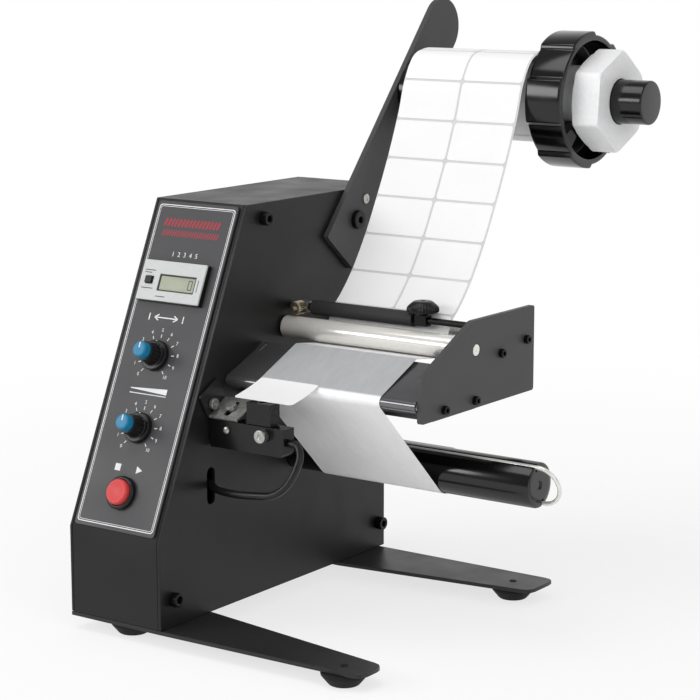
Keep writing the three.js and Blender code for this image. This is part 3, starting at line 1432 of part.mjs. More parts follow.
function sensorClampBolt() {
  return turnedZ(
    [
      [0, -CLAMP_REACH],
      [CLAMP_SHANK_RADIUS, -CLAMP_REACH],
      [CLAMP_SHANK_RADIUS, BRACKET_SHEET + FIT],
      [CLAMP_HEAD_RADIUS, BRACKET_SHEET + FIT],
      [CLAMP_HEAD_RADIUS, BRACKET_SHEET + CLAMP_HEAD_HEIGHT],
      [0, BRACKET_SHEET + CLAMP_HEAD_HEIGHT],
    ],
    [SLOT_MIDDLE, CLAMP_PLACE],
    SMALL_ROUND_STEPS,
  );
}

const THUMB_SCREW_AT = [THUMB_SCREW_PLACE, HOLDER_FRONT, HOLDER_BOTTOM + THUMB_SCREW_UP];

function sensorThumbScrew() {
  return turnedForward(
    [
      [0, -THUMB_SCREW_STEM_LENGTH],
      [THUMB_SCREW_STEM, -THUMB_SCREW_STEM_LENGTH],
      [THUMB_SCREW_STEM, FIT],
      [THUMB_SCREW_RADIUS, FIT],
      [THUMB_SCREW_RADIUS, THUMB_SCREW_LENGTH],
      [0, THUMB_SCREW_LENGTH],
    ],
    THUMB_SCREW_AT,
  );
}

function sensorHead() {
  const bottom = HOLDER_TOP + RUN;
  const front = HOLDER_FRONT + (HOLDER_DEPTH - HEAD_DEPTH) / 2;
  const end = HEAD_START + HEAD_WIDTH;
  const body = block(HEAD_START, end, front, front + HEAD_DEPTH, bottom, bottom + HEAD_HEIGHT);
  const eye = turnedZ(
    rod(HEAD_EYE_RADIUS, bottom + HEAD_HEIGHT - HEAD_EYE_DEPTH, bottom + HEAD_HEIGHT + OVERRUN),
    [HEAD_START + HEAD_WIDTH / 2, front + HEAD_DEPTH / 2],
    SMALL_ROUND_STEPS,
  );
  return cut(body, eye);
}

function bracketScrew() {
  const head = BRACKET_START + FIT;
  return turnedX(
    [
      [0, WALL_INNER - FIT],
      [BRACKET_SCREW_BORE, WALL_INNER - FIT],
      [BRACKET_SCREW_BORE, head],
      [BRACKET_SCREW_RADIUS, head],
      [BRACKET_SCREW_RADIUS, head + BRACKET_SCREW_HEIGHT],
      [BRACKET_SCREW_BORE, head + BRACKET_SCREW_HEIGHT],
      [BRACKET_SCREW_BORE, head + BRACKET_SCREW_HEIGHT / 2],
      [0, head + BRACKET_SCREW_HEIGHT / 2],
    ],
    BRACKET_SCREW_AT,
    SMALL_ROUND_STEPS,
  );
}

function sensorCable() {
  const points = CABLE_ROUTE.map(
    ([x, back, up]) => new THREE.Vector3(x, HOLDER_FRONT + back, HOLDER_BOTTOM + up),
  );
  const route = new THREE.CatmullRomCurve3(points);
  const steps = Math.round(route.getLength() / CABLE_STEP);
  return tube(route, CABLE_RADIUS, CABLE_SIDES, steps);
}

function controlFaceplate() {
  const outline = rectangle(
    SHELL_LEFT + PLATE_MARGIN,
    SHELL_RIGHT - PLATE_MARGIN,
    PLATE_MARGIN,
    PANEL_LENGTH - PLATE_MARGIN,
    PLATE_CORNER,
  );
  return cut(prismZ(outline, FIT, PLATE_FACE), ...panelCuts(-OVERRUN, PLATE_FACE + OVERRUN));
}

const RESET = {
  x0: COUNTER_MIDDLE[0] + RESET_SHIFT - RESET_WIDTH / 2,
  x1: COUNTER_MIDDLE[0] + RESET_SHIFT + RESET_WIDTH / 2,
  y0: COUNTER_MIDDLE[1] - RESET_HEIGHT / 2,
  y1: COUNTER_MIDDLE[1] + RESET_HEIGHT / 2,
};
const COUNTER_FACE = PLATE_FACE + FIT + COUNTER_PROUD;

function counterHousing() {
  const { x0, x1, y0, y1 } = COUNTER;
  const bezel = block(x0, x1, y0, y1, PLATE_FACE + FIT, COUNTER_FACE);
  const body = COUNTER_BODY;
  const box = block(body.x0, body.x1, body.y0, body.y1, -COUNTER_BODY_DEPTH, COUNTER_FACE - WINDOW_DEPTH);
  const windowMiddle = COUNTER_MIDDLE[0] + WINDOW_SHIFT;
  const windowRise = COUNTER_MIDDLE[1] - WINDOW_DROP;
  const window = block(
    windowMiddle - WINDOW_WIDTH / 2,
    windowMiddle + WINDOW_WIDTH / 2,
    windowRise - WINDOW_HEIGHT / 2,
    windowRise + WINDOW_HEIGHT / 2,
    COUNTER_FACE - WINDOW_DEPTH,
    COUNTER_FACE + OVERRUN,
  );
  const pocket = block(
    RESET.x0 - RUN,
    RESET.x1 + RUN,
    RESET.y0 - RUN,
    RESET.y1 + RUN,
    COUNTER_FACE - RESET_LENGTH - RESET_PROUD,
    COUNTER_FACE + OVERRUN,
  );
  return cut(joined(bezel, box), window, pocket);
}

function counterReset() {
  const face = COUNTER_FACE + RESET_PROUD;
  return block(RESET.x0, RESET.x1, RESET.y0, RESET.y1, face - RESET_LENGTH, face);
}

function dialKnob(place) {
  const base = PLATE_FACE + RUN;
  const top = base + DIAL_HEIGHT;
  const capBase = base + DIAL_HEIGHT * DIAL_CAP_SHARE;
  return turnedZ(
    [
      [0, -DIAL_SHAFT_DEPTH],
      [DIAL_SHAFT_RADIUS, -DIAL_SHAFT_DEPTH],
      [DIAL_SHAFT_RADIUS, base],
      [DIAL_SKIRT_RADIUS, base],
      [DIAL_SKIRT_RADIUS, base + DIAL_SKIRT_HEIGHT],
      [DIAL_BODY_RADIUS, base + DIAL_SKIRT_HEIGHT],
      [DIAL_BODY_RADIUS, capBase],
      [DIAL_CAP_RADIUS, capBase],
      [DIAL_CAP_RADIUS, top],
      [0, top],
    ],
    place,
    SMALL_ROUND_STEPS,
  );
}

// Board behind the panel with the two potentiometers that hold the dials' shafts
function controlBoard() {
  const under = -SHEET - FIT;
  const boardTop = under - POT_DEPTH;
  const board = block(
    CASE_MIDDLE - BOARD_WIDTH / 2,
    CASE_MIDDLE + BOARD_WIDTH / 2,
    SPEED_DIAL_RISE - BOARD_MARGIN,
    LENGTH_DIAL_RISE + BOARD_MARGIN,
    boardTop - BOARD_THICKNESS,
    boardTop,
  );
  const pots = DIALS.map((place) =>
    turnedZ(rod(POT_RADIUS, boardTop - BOARD_THICKNESS / 2, under), place, SMALL_ROUND_STEPS),
  );
  const bores = DIALS.map((place) =>
    turnedZ(
      rod(DIAL_SHAFT_RADIUS + RUN, boardTop - BOARD_THICKNESS - OVERRUN, under + OVERRUN),
      place,
      SMALL_ROUND_STEPS,
    ),
  );
  return cut(joined(board, ...pots), ...bores);
}

function buttonBezel() {
  const base = PLATE_FACE + FIT;
  return turnedZ(
    [
      [BUTTON_RADIUS + RUN, -BUTTON_NECK_DEPTH],
      [BUTTON_NECK_RADIUS, -BUTTON_NECK_DEPTH],
      [BUTTON_NECK_RADIUS, base],
      [BUTTON_BEZEL_RADIUS, base],
      [BUTTON_BEZEL_RADIUS, base + BUTTON_BEZEL_HEIGHT - BUTTON_EDGE],
      [BUTTON_BEZEL_RADIUS - BUTTON_EDGE, base + BUTTON_BEZEL_HEIGHT],
      [BUTTON_RADIUS + RUN, base + BUTTON_BEZEL_HEIGHT],
    ],
    BUTTON,
    SMALL_ROUND_STEPS,
  );
}

function buttonCap() {
  const top = PLATE_FACE + BUTTON_PROUD;
  return turnedZ(
    [
      [0, -BUTTON_DEPTH],
      [BUTTON_RADIUS, -BUTTON_DEPTH],
      [BUTTON_RADIUS, top - BUTTON_EDGE],
      [BUTTON_RADIUS - BUTTON_EDGE, top],
      [0, top],
    ],
    BUTTON,
    SMALL_ROUND_STEPS,
  );
}

const ROCKER_AXIS_Z = INLET.z + ROCKER_SHIFT;

function powerInlet() {
  const back = CASE_DEPTH + FIT + INLET_FLANGE;
  const flange = prismY(
    rectangle(
      INLET.z - INLET_HEIGHT / 2,
      INLET.z + INLET_HEIGHT / 2,
      INLET.x - INLET_WIDTH / 2,
      INLET.x + INLET_WIDTH / 2,
      INLET_CORNER,
    ),
    CASE_DEPTH + FIT,
    back,
  );
  const box = block(
    INLET_BODY.x0,
    INLET_BODY.x1,
    CASE_DEPTH - INLET_BODY_DEPTH,
    back - FIT,
    INLET_BODY.z0,
    INLET_BODY.z1,
  );
  const middle = INLET.z + SOCKET_SHIFT;
  const bottom = middle - SOCKET_HEIGHT / 2;
  const top = middle + SOCKET_HEIGHT / 2;
  const left = INLET.x - SOCKET_WIDTH / 2;
  const right = INLET.x + SOCKET_WIDTH / 2;
  const socket = prismY(
    [
      [bottom, left],
      [top - SOCKET_CORNER_HEIGHT, left],
      [top, left + SOCKET_CORNER_WIDTH],
      [top, right - SOCKET_CORNER_WIDTH],
      [top - SOCKET_CORNER_HEIGHT, right],
      [bottom, right],
    ],
    back - SOCKET_DEPTH,
    back + OVERRUN,
  );
  const pocket = block(
    INLET.x - ROCKER_WIDTH / 2 - RUN,
    INLET.x + ROCKER_WIDTH / 2 + RUN,
    back - ROCKER_POCKET,
    back + OVERRUN,
    ROCKER_AXIS_Z - ROCKER_HEIGHT / 2 - RUN,
    ROCKER_AXIS_Z + ROCKER_HEIGHT / 2 + RUN,
  );
  return cut(joined(flange, box), socket, pocket);
}

// Rocker tilted into its off place about the middle of its face, with a shallow valley in the face
function powerRocker() {
  const half = ROCKER_HEIGHT / 2;
  const root = ROCKER_ROOT_HEIGHT / 2;
  const outline = [
    [-ROCKER_DEPTH, -root],
    [-ROCKER_PROUD, -half],
    [ROCKER_PROUD, -half],
    [0, 0],
    [ROCKER_PROUD, half],
    [-ROCKER_PROUD, half],
    [-ROCKER_DEPTH, root],
  ];
  const level = asGeometry(prismX(outline, INLET.x - ROCKER_WIDTH / 2, INLET.x + ROCKER_WIDTH / 2));
  const back = CASE_DEPTH + FIT + INLET_FLANGE;
  return solid(level.rotateX(ROCKER_TILT_DEG * DEG).translate(0, back, ROCKER_AXIS_Z));
}

// Finishes: colour, roughness, metalness
const BLACK_PAINT = [0x2b2b2d, 0.55, 0.15];
const DARK_PAINT = [0x232325, 0.5, 0.15];
const PANEL_PAINT = [0x5a5a5c, 0.45, 0.1];
const BLACK_STEEL = [0x151516, 0.35, 0.6];
const CHROME = [0xd9d6cf, 0.12, 1];
const STEEL = [0xb8b8b8, 0.3, 1];
const BRASS = [0xb7a06a, 0.35, 1];
const RUBBER = [0x111111, 0.85, 0];
const GLOSS_BLACK = [0x0c0c0d, 0.18, 0.05];
const NYLON = [0xe4e3df, 0.45, 0];
const PAPER = [0xf3f3f1, 0.8, 0];
const LABEL_WHITE = [0xfafafa, 0.5, 0];
const CARD = [0xb59a6f, 0.9, 0];
const BOARD_GREEN = [0x1d5a34, 0.6, 0];
const RED = [0xd8413e, 0.4, 0];
const BLUE = [0x2c7fb0, 0.4, 0];

const machine = new THREE.Group();
machine.add(panel, slope);

function addPiece(name, body, [color, roughness, metalness], parent = machine) {
  const material = new THREE.MeshStandardMaterial({ color, roughness, metalness });
  const mesh = new THREE.Mesh(asGeometry(body), material);
  mesh.name = name;
  mesh.geometry.computeVertexNormals();
  parent.add(mesh);
}

addPiece("case_shell", caseShell(), BLACK_PAINT);
addPiece("left_side_plate", leftSidePlate(), BLACK_PAINT);
addPiece("right_side_plate", rightSidePlate(), BLACK_PAINT);
addPiece("base_plate", basePlate(), BLACK_PAINT);
addPiece("control_faceplate", controlFaceplate(), PANEL_PAINT, panel);
addPiece("front_foot_bar", footBar(FRONT_BAR_OUTLINE, [CASE_FEET[0], BAR_FEET[0]]), DARK_PAINT);
addPiece("rear_foot_bar", footBar(REAR_BAR_OUTLINE, [CASE_FEET[1], BAR_FEET[1]]), DARK_PAINT);
CASE_FEET.forEach((at, i) => addPiece(`case_foot_${i + 1}`, rubberFoot(at, FOOT_STUD_REACH), RUBBER));
BAR_FEET.forEach((at, i) => addPiece(`bar_foot_${i + 1}`, rubberFoot(at, 0), RUBBER));
SIDE_SCREWS.forEach((at, i) => addPiece(`case_screw_${i + 1}`, socketScrew(0, at, CASE_SCREW), BLACK_STEEL));

addPiece("roll_arm", rollArm(), DARK_PAINT);
addPiece("arm_bolt", socketScrew(ARM_THICKNESS, ARM_BOLT_AT, ARM_BOLT), BLACK_STEEL);
addPiece("arm_pin", armPin(), STEEL);
addPiece("spindle_shaft", spindleShaft(), BLACK_STEEL);
addPiece("spindle_nut", spindleNut(), STEEL);
addPiece("roll_core", rollCore(), CARD);
addPiece("label_roll", labelRoll(), PAPER);
addPiece("hub_ring", hubRing(), GLOSS_BLACK);
addPiece("hub_nut", hubNut(), NYLON);

addPiece("outboard_plate", outboardPlate(), DARK_PAINT);
addPiece("cross_tray", crossTray(), DARK_PAINT);
addPiece("rear_guide_rod", tieRod(BAY_SCREWS[0]), CHROME);
addPiece("middle_tie_rod", tieRod(BAY_SCREWS[1]), BLACK_STEEL);
BAY_SCREWS.forEach((at, i) =>
  addPiece(`bay_screw_${i + 1}`, socketScrew(OUTBOARD_OUTER, at, BAY_SCREW), BLACK_STEEL),
);
addPiece("peel_plate", peelPlate(), PANEL_PAINT);
addPiece("guide_roller", guideRoller(), CHROME);
addPiece("press_shaft", pressShaft(), BLACK_STEEL);
addPiece("press_roller", pressRoller(), RUBBER);
addPiece("left_guide_block", guideBlock(LEFT_BLOCK_START, true), STEEL);
addPiece("right_guide_block", guideBlock(RIGHT_BLOCK_START, false), STEEL);
addPiece("knurled_screw", knurledScrew(), BRASS);
addPiece("thumb_knob", thumbKnob(), GLOSS_BLACK);

addPiece("label_web", labelWeb(), PAPER);
addPiece("peeled_label", peeledLabel(), LABEL_WHITE);
addPiece("rewind_shaft", rewindShaft(), GLOSS_BLACK);
addPiece("rewind_clip", rewindClip(), STEEL);
addPiece("gearmotor", gearmotor(), STEEL);

addPiece("sensor_bracket", sensorBracket(), STEEL);
addPiece("bracket_screw", bracketScrew(), STEEL);
addPiece("sensor_holder", sensorHolder(), DARK_PAINT);
addPiece("sensor_clamp_bolt", sensorClampBolt(), STEEL, slope);
addPiece("sensor_head", sensorHead(), GLOSS_BLACK);
addPiece("sensor_thumb_screw", sensorThumbScrew(), STEEL);
addPiece("sensor_cable", sensorCable(), RUBBER);

addPiece("counter_housing", counterHousing(), NYLON, panel);
addPiece("counter_reset", counterReset(), GLOSS_BLACK, panel);
addPiece("length_dial", dialKnob(DIALS[0]), BLUE, panel);
addPiece("speed_dial", dialKnob(DIALS[1]), BLUE, panel);
addPiece("control_board", controlBoard(), BOARD_GREEN, panel);
addPiece("button_bezel", buttonBezel(), GLOSS_BLACK, panel);
addPiece("button_cap", buttonCap(), RED, panel);
addPiece("power_inlet", powerInlet(), GLOSS_BLACK);
addPiece("power_rocker", powerRocker(), GLOSS_BLACK);

// The origin is the middle of the whole object's footprint, on the table.
const bounds = new THREE.Box3().setFromObject(machine);
const middle = bounds.getCenter(new THREE.Vector3());
machine.position.set(-middle.x, -middle.y, -bounds.min.z);

const group = new THREE.Group();
group.add(machine);

export default group;
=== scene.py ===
# %% [markdown]
# A label dispenser, dressed for its photograph
#
# The machine is a tall, narrow black case with a sloping control panel. An arm on its right wall
# carries a spindle with the roll of labels. The web of labels falls to two rollers, runs down a
# sloping peel plate, gives up its labels at the sharp edge, and the empty backing paper winds onto
# a shaft below. The imported CAD frame is loaded first.

import json
import math
import bmesh
import bpy
import numpy as np
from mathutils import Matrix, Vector


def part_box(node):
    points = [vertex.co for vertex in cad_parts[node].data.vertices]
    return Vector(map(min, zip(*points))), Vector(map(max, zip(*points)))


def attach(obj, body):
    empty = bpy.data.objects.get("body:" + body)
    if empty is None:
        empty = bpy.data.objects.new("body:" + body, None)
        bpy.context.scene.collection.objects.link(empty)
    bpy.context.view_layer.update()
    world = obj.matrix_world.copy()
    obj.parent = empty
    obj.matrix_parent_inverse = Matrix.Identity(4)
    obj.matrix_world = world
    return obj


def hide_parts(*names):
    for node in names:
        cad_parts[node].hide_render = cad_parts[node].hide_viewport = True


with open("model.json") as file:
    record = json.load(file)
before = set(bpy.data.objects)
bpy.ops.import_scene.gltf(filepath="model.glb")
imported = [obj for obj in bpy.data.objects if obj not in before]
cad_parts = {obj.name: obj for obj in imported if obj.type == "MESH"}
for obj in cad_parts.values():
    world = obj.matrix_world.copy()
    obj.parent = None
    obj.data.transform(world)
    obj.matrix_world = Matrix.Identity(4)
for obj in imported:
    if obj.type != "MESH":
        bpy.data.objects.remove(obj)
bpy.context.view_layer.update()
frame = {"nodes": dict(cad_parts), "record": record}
nodes = frame["nodes"]

# %% [markdown]
# The camera's place and turn were worked out from points of the photograph
# whose places on the machine are known, such as corners of the case and of
# the outer plate. A long lens would flatten the view and a short one would
# bend it, so its length was one of the unknowns, and came out at 113 mm.

# %% Camera
CAMERA_PLACE = (0.74495, -1.09619, 0.4107)
CAMERA_TILT_DEG = 79.33
CAMERA_TURN_DEG = 35.4
LENS_MM = 113.1

eye = bpy.data.cameras.new("eye")
eye.lens = LENS_MM
eye.sensor_width = 36.0
camera = bpy.data.objects.new("camera", eye)
camera.location = CAMERA_PLACE
camera.rotation_euler = (math.radians(CAMERA_TILT_DEG), 0.0, math.radians(CAMERA_TURN_DEG))
bpy.context.scene.collection.objects.link(camera)
bpy.context.scene.camera = camera
bpy.context.scene.view_settings.view_transform = "Standard"
print("camera", camera.location[:])

# %% [markdown]
# Places are easiest to say from the machine's own corner: x in millimetres
# from the outer face of the right wall, y back from the front, z up from the
# table. The panel has a frame of its own, with x across, t up the slope and n
# out of it. Both are simple sums, so whole arrays of points turn into metres
# at once.

# %% Places in millimetres
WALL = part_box("right_side_plate")[1].x
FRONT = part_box("right_side_plate")[0].y
PANEL_FOOT = 64.0
PANEL_TILT = math.atan2(189.0, 85.0)
NODE_BODIES = dict.fromkeys(nodes, "machine")
for body, held in frame["record"]["behaviour"]["bodies"].items():
    NODE_BODIES.update(dict.fromkeys(held, body))


def metres(points):
    """Points in millimetres from the wall, the front and the table, as metres in the frame."""
    return np.asarray(points, float) / 1000.0 + np.array([WALL, FRONT, 0.0])


def stacked(*values):
    """Numbers or arrays brought to one shape and set side by side on a new last axis."""
    return np.stack(np.broadcast_arrays(*values), -1)


def on_panel(x, t, n):
    """A place on the panel: y = t cos b - n sin b and z = foot + t sin b + n cos b, b its tilt."""
    cosine, sine = math.cos(PANEL_TILT), math.sin(PANEL_TILT)
    return stacked(x, t * cosine - n * sine, PANEL_FOOT + t * sine + n * cosine)


print("wall", round(WALL, 4), "front", round(FRONT, 4))

# %% [markdown]
# Nearly every new piece is a skin of four-cornered cells over a grid of
# points: rows along the piece and columns round it. The faces are turned
# outwards by the sign of the volume that they enclose. Edges that bend by
# more than a set angle stay sharp, and the rest are shaded smooth.

# %% Skins over grids
SHARP_DEG = 32.0
STRIP_SHARP_DEG = 50.0


def cells(rows, columns, ring_of_rows):
    """Four corners of each cell; the last column meets the first, and so can the last row."""
    i = np.arange(rows if ring_of_rows else rows - 1)[:, None]
    j = np.arange(columns)[None, :]
    down, right = (i + 1) % rows, (j + 1) % columns
    corners = (i * columns + j, down * columns + j, down * columns + right, i * columns + right)
    return stacked(*corners).reshape(-1, 4)


def skin(grid, ring_of_rows=False):
    """Points and faces of a closed skin: a grid with rings for columns, and its two ends shut."""
    rows, columns = grid.shape[:2]
    faces = cells(rows, columns, ring_of_rows).tolist()
    if not ring_of_rows:
        faces.append(list(range(columns))[::-1])
        faces.append(list(range((rows - 1) * columns, rows * columns)))
    return grid.reshape(-1, 3), faces


def gather(skins):
    """Many skins as one list of points and one of faces."""
    faces, count = [], 0
    for points, cells_of in skins:
        faces += [[corner + count for corner in cell] for cell in cells_of]
        count += len(points)
    return np.concatenate([points for points, _ in skins]), faces


def enclosed(mesh):
    """The volume inside a closed mesh, less than nothing where its faces look inwards."""
    work = bmesh.new()
    work.from_mesh(mesh)
    volume = work.calc_volume(signed=True)
    work.free()
    return volume


def shade(mesh, bend_deg=SHARP_DEG):
    """Smooth shading, with edges that bend more than the angle kept sharp."""
    mesh.shade_smooth()
    mesh.set_sharp_from_angle(angle=math.radians(bend_deg))


def add_object(name, mesh, finish, node=None, body="machine"):
    """A piece that stands for a CAD node and rides the node's body, or rides the body named."""
    mesh.materials.clear()
    mesh.materials.append(bpy.data.materials[finish])
    piece = bpy.data.objects.new(name, mesh)
    bpy.context.scene.collection.objects.link(piece)
    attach(piece, NODE_BODIES[node] if node else body)
    if node:
        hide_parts(node)
    return piece


def add_piece(name, skins, finish, node=None, body="machine", bend_deg=SHARP_DEG):
    """Puts skins in millimetres into one mesh in metres, faces out, and makes a piece of it."""
    points, faces = gather(skins)
    mesh = bpy.data.meshes.new(name)
    mesh.from_pydata(metres(points).tolist(), [], faces)
    if enclosed(mesh) < 0.0:
        mesh.flip_normals()
    shade(mesh, bend_deg)
    return add_object(name, mesh, finish, node, body)


print("a 3 by 4 grid has", len(cells(3, 4, False)), "cells")

# %% [markdown]
# Rollers, screws, knobs and the hub are turned work: a profile of distances
# along and from an axis is carried round it. Real edges are never quite
# sharp, so its corners are eased with short parabolas, which catch a thin
# line of light. Flutes, lobes, sockets and flats are a wave that changes the
# radius with the angle, on the same grid. Wires and the cable are rings along
# a path instead.

# %% Turned pieces and tubes
PANEL_OUT = (0.0, -math.sin(PANEL_TILT), math.cos(PANEL_TILT))
PANEL_UP = (0.0, math.cos(PANEL_TILT), math.sin(PANEL_TILT))
AXES = {
    "right": ((1, 0, 0), (0, 1, 0), (0, 0, 1)),
    "up": ((0, 0, 1), (1, 0, 0), (0, 1, 0)),
    "front": ((0, -1, 0), (1, 0, 0), (0, 0, 1)),
    "out": (PANEL_OUT, (1, 0, 0), PANEL_UP),
}


def eased(corners, reach, steps=3, closed=False):
    """An outline eased by (1-t)²P + 2t(1-t)B + t²Q, P and Q a reach from corner B."""
    corners = np.asarray(corners, float)
    to_last, to_next = np.roll(corners, 1, 0) - corners, np.roll(corners, -1, 0) - corners
    last, following = np.linalg.norm(to_last, axis=1), np.linalg.norm(to_next, axis=1)
    cut = np.minimum(np.broadcast_to(reach, last.shape), 0.48 * np.minimum(last, following))
    p = corners + to_last * (cut / last)[:, None]
    q = corners + to_next * (cut / following)[:, None]
    t = np.linspace(0.0, 1.0, steps + 1)[None, :, None]
    curve = (1 - t) ** 2 * p[:, None] + 2 * t * (1 - t) * corners[:, None] + t**2 * q[:, None]
    if closed:
        return curve.reshape(-1, 2)
    return np.concatenate([corners[:1], curve[1:-1].reshape(-1, 2), corners[-1:]])


def turned_points(profile, centre, direction, steps=72, wave=None, angles=None):
    """Centre + along·axis + radius·(cos a·first + sin a·second), the radius changed by a wave."""
    if angles is None:
        angles = np.linspace(0.0, 2 * math.pi, steps, endpoint=False)
    along, radius = np.asarray(profile, float).T[..., None]
    if wave:
        radius = wave(angles[None, :], along, radius)
    axis, first, second = np.array(AXES[direction], float)
    across = np.cos(angles)[:, None] * first + np.sin(angles)[:, None] * second
    return centre + along[..., None] * axis + radius[..., None] * across


def turned(name, corners, ease, centre, direction, finish, node=None, body="machine",
           ease_steps=3, ring=False, **how):
    """A turned piece from an eased profile that is shut at its ends, or is a ring of its own."""
    profile = eased(corners, ease, ease_steps, ring) if ease else corners
    points = turned_points(profile, centre, direction, **how)
    return add_piece(name, [skin(points, ring)], finish, node, body)


def sleeve(left, right, bore, radius):
    """The ring of a plain tube's profile."""
    return [(left, bore), (left, radius), (right, radius), (right, bore)]


def knurl(count, depth, start, end):
    """A wave for a knurled rim: the radius drops by depth at each of the count flutes."""
    def wave(angle, along, radius):
        """Between start and end: radius - depth · (1 - cos(count · angle)) / 2."""
        inside = (along > start) & (along < end)
        return radius - np.where(inside, depth * (0.5 - 0.5 * np.cos(count * angle)), 0.0)
    return wave


def run_of(path):
    """The length along a path at each of its points."""
    return np.concatenate([[0.0], np.cumsum(np.linalg.norm(np.diff(path, axis=0), axis=1))])


def way_of(path):
    """The direction of a path at each of its points, as a unit vector."""
    way = np.gradient(path, axis=0)
    return way / np.linalg.norm(way, axis=1, keepdims=True)


def tube(path, radius, sides=16):
    """A round tube: rings of path + radius·(cos a·u + sin a·(w × u)), w the path's way.

    From ring to ring u only loses its share along w, so it is the first u times the product of
    all the matrices I - w wᵀ up to there. The products double their reach until all are done.
    """
    way = way_of(path)
    product = np.eye(3) - way[:, :, None] * way[:, None, :]
    reach = 1
    while reach < len(way):
        product[reach:] = product[reach:] @ product[:-reach]
        reach *= 2
    first = product @ np.cross(way[0], [0.3, 0.2, 0.93])
    first /= np.linalg.norm(first, axis=1, keepdims=True)
    second = np.cross(way, first)
    angle = np.linspace(0.0, 2 * math.pi, sides, endpoint=False)[None, :, None]
    return skin(path[:, None] + radius * (np.cos(angle) * first[:, None]
                                          + np.sin(angle) * second[:, None]))


def even(path, spacing):
    """The same path with its points at even steps of length, by straight interpolation."""
    run = run_of(path)
    at = np.linspace(0.0, run[-1], max(2, round(run[-1] / spacing) + 1))
    return stacked(*(np.interp(at, run, places) for places in path.T))


def smooth_path(points, spacing):
    """A curve through points: (2t³-3t²+1)p + (3t²-2t³)q + (t³-2t²+t)m + (t³-t²)n, m, n slopes."""
    points = np.asarray(points, float)
    padded = np.vstack([2 * points[0] - points[1], points, 2 * points[-1] - points[-2]])
    knots = np.sqrt(np.linalg.norm(np.diff(padded, axis=0), axis=1))[:, None]
    o, p, q, r = padded[:-3], padded[1:-2], padded[2:-1], padded[3:]
    d0, d1, d2 = knots[:-2], knots[1:-1], knots[2:]
    m = ((p - o) / d0 - (q - o) / (d0 + d1) + (q - p) / d1) * d1
    n = ((q - p) / d1 - (r - p) / (d1 + d2) + (r - q) / d2) * d1
    t = np.linspace(0.0, 1.0, 48, endpoint=False)[None, :, None]
    p, q, m, n = (v[:, None] for v in (p, q, m, n))
    fine = (2 * t**3 - 3 * t**2 + 1) * p + (t**3 - 2 * t**2 + t) * m
    fine = fine + (3 * t**2 - 2 * t**3) * q + (t**3 - t**2) * n
    return even(np.vstack([fine.reshape(-1, points.shape[1]), points[-1:]]), spacing)


print("an eased square has", len(eased([(0, 0), (1, 0), (1, 1), (0, 1)], 0.1, 3, True)), "points")

# %% [markdown]
# Each finish is one call with a few values. Fine noise changes the colour a
# little and raises the grain of the paint, and broad noise makes the gloss
# uneven as handling does. Both read Object coordinates, so the pattern stays
# put on the piece in any view. Colours are chart values from 0 to 255, turned
# into amounts of light.

# %% Finishes
def tone(red, green, blue):
    """A chart colour as light: (c/255 + 0.055)/1.055 to the power 2.4, or c/255/12.92 if dark."""
    c = np.array([red, green, blue]) / 255.0
    light = np.where(c <= 0.04045, c / 12.92, ((c + 0.055) / 1.055) ** 2.4)
    return (*light.tolist(), 1.0)


def feed(tree, node, sockets):
    """Gives the sockets of a node their values, or joins them to outputs of other nodes."""
    for socket, value in sockets.items():
        if isinstance(value, bpy.types.NodeSocket):
            tree.links.new(value, node.inputs[socket])
        else:
            node.inputs[socket].default_value = value


def add_node(tree, kind, sockets, output=0, **settings):
    """Adds a shader node with its settings, feeds it, and gives back one of its outputs."""
    node = tree.nodes.new("ShaderNode" + kind)
    for setting, value in settings.items():
        setattr(node, setting, value)
    feed(tree, node, sockets)
    return node.outputs[output]


def sums(tree, kind, *values):
    """A Math node of the given kind on up to three sockets or numbers."""
    return add_node(tree, "Math", dict(enumerate(values)), operation=kind)


def noise(tree, place, scale, detail=3.0):
    """Noise on the given coordinates, with its scale per metre."""
    sockets = {"Vector": place, "Scale": scale, "Detail": detail, "Roughness": 0.55}
    return add_node(tree, "TexNoise", sockets, "Fac")


def spread(tree, value, low, high, start=0.3, end=0.7, kind="LINEAR"):
    """A value from start to end, where noise mostly lies, stretched to run from low to high."""
    sockets = {"Value": value, "From Min": start, "From Max": end, "To Min": low, "To Max": high}
    return add_node(tree, "MapRange", sockets, "Result", interpolation_type=kind)


def blend(tree, amount, first, second):
    """A colour between two, each a colour value or a socket."""
    return add_node(tree, "Mix", {"Factor": amount, 6: first, 7: second}, 2, data_type="RGBA")


def part_of(tree, vector, axis):
    """The X, Y or Z of a vector."""
    return add_node(tree, "SeparateXYZ", {0: vector}, axis)


def grain_of(tree, height, depth):
    """A normal that leans as if the surface rose by depth metres times the height."""
    sockets = {"Strength": 1.0, "Distance": depth, "Height": height}
    return add_node(tree, "Bump", sockets, "Normal")


def stretched(tree, place, by):
    """Coordinates scaled by three factors, to draw a pattern out along one way."""
    return add_node(tree, "Mapping", {"Scale": by, "Vector": place})


def new_finish(name, rough, metal=0.0, level=0.5):
    """The tree of a new material, its shader with constants set, and its Object coordinates."""
    material = bpy.data.materials.new(name)
    material.use_nodes = True
    tree = material.node_tree
    shader = next(n for n in tree.nodes if n.type == "BSDF_PRINCIPLED")
    feed(tree, shader, {"Roughness": rough, "Metallic": metal, "Specular IOR Level": level})
    return tree, shader, add_node(tree, "TexCoord", {}, "Object")


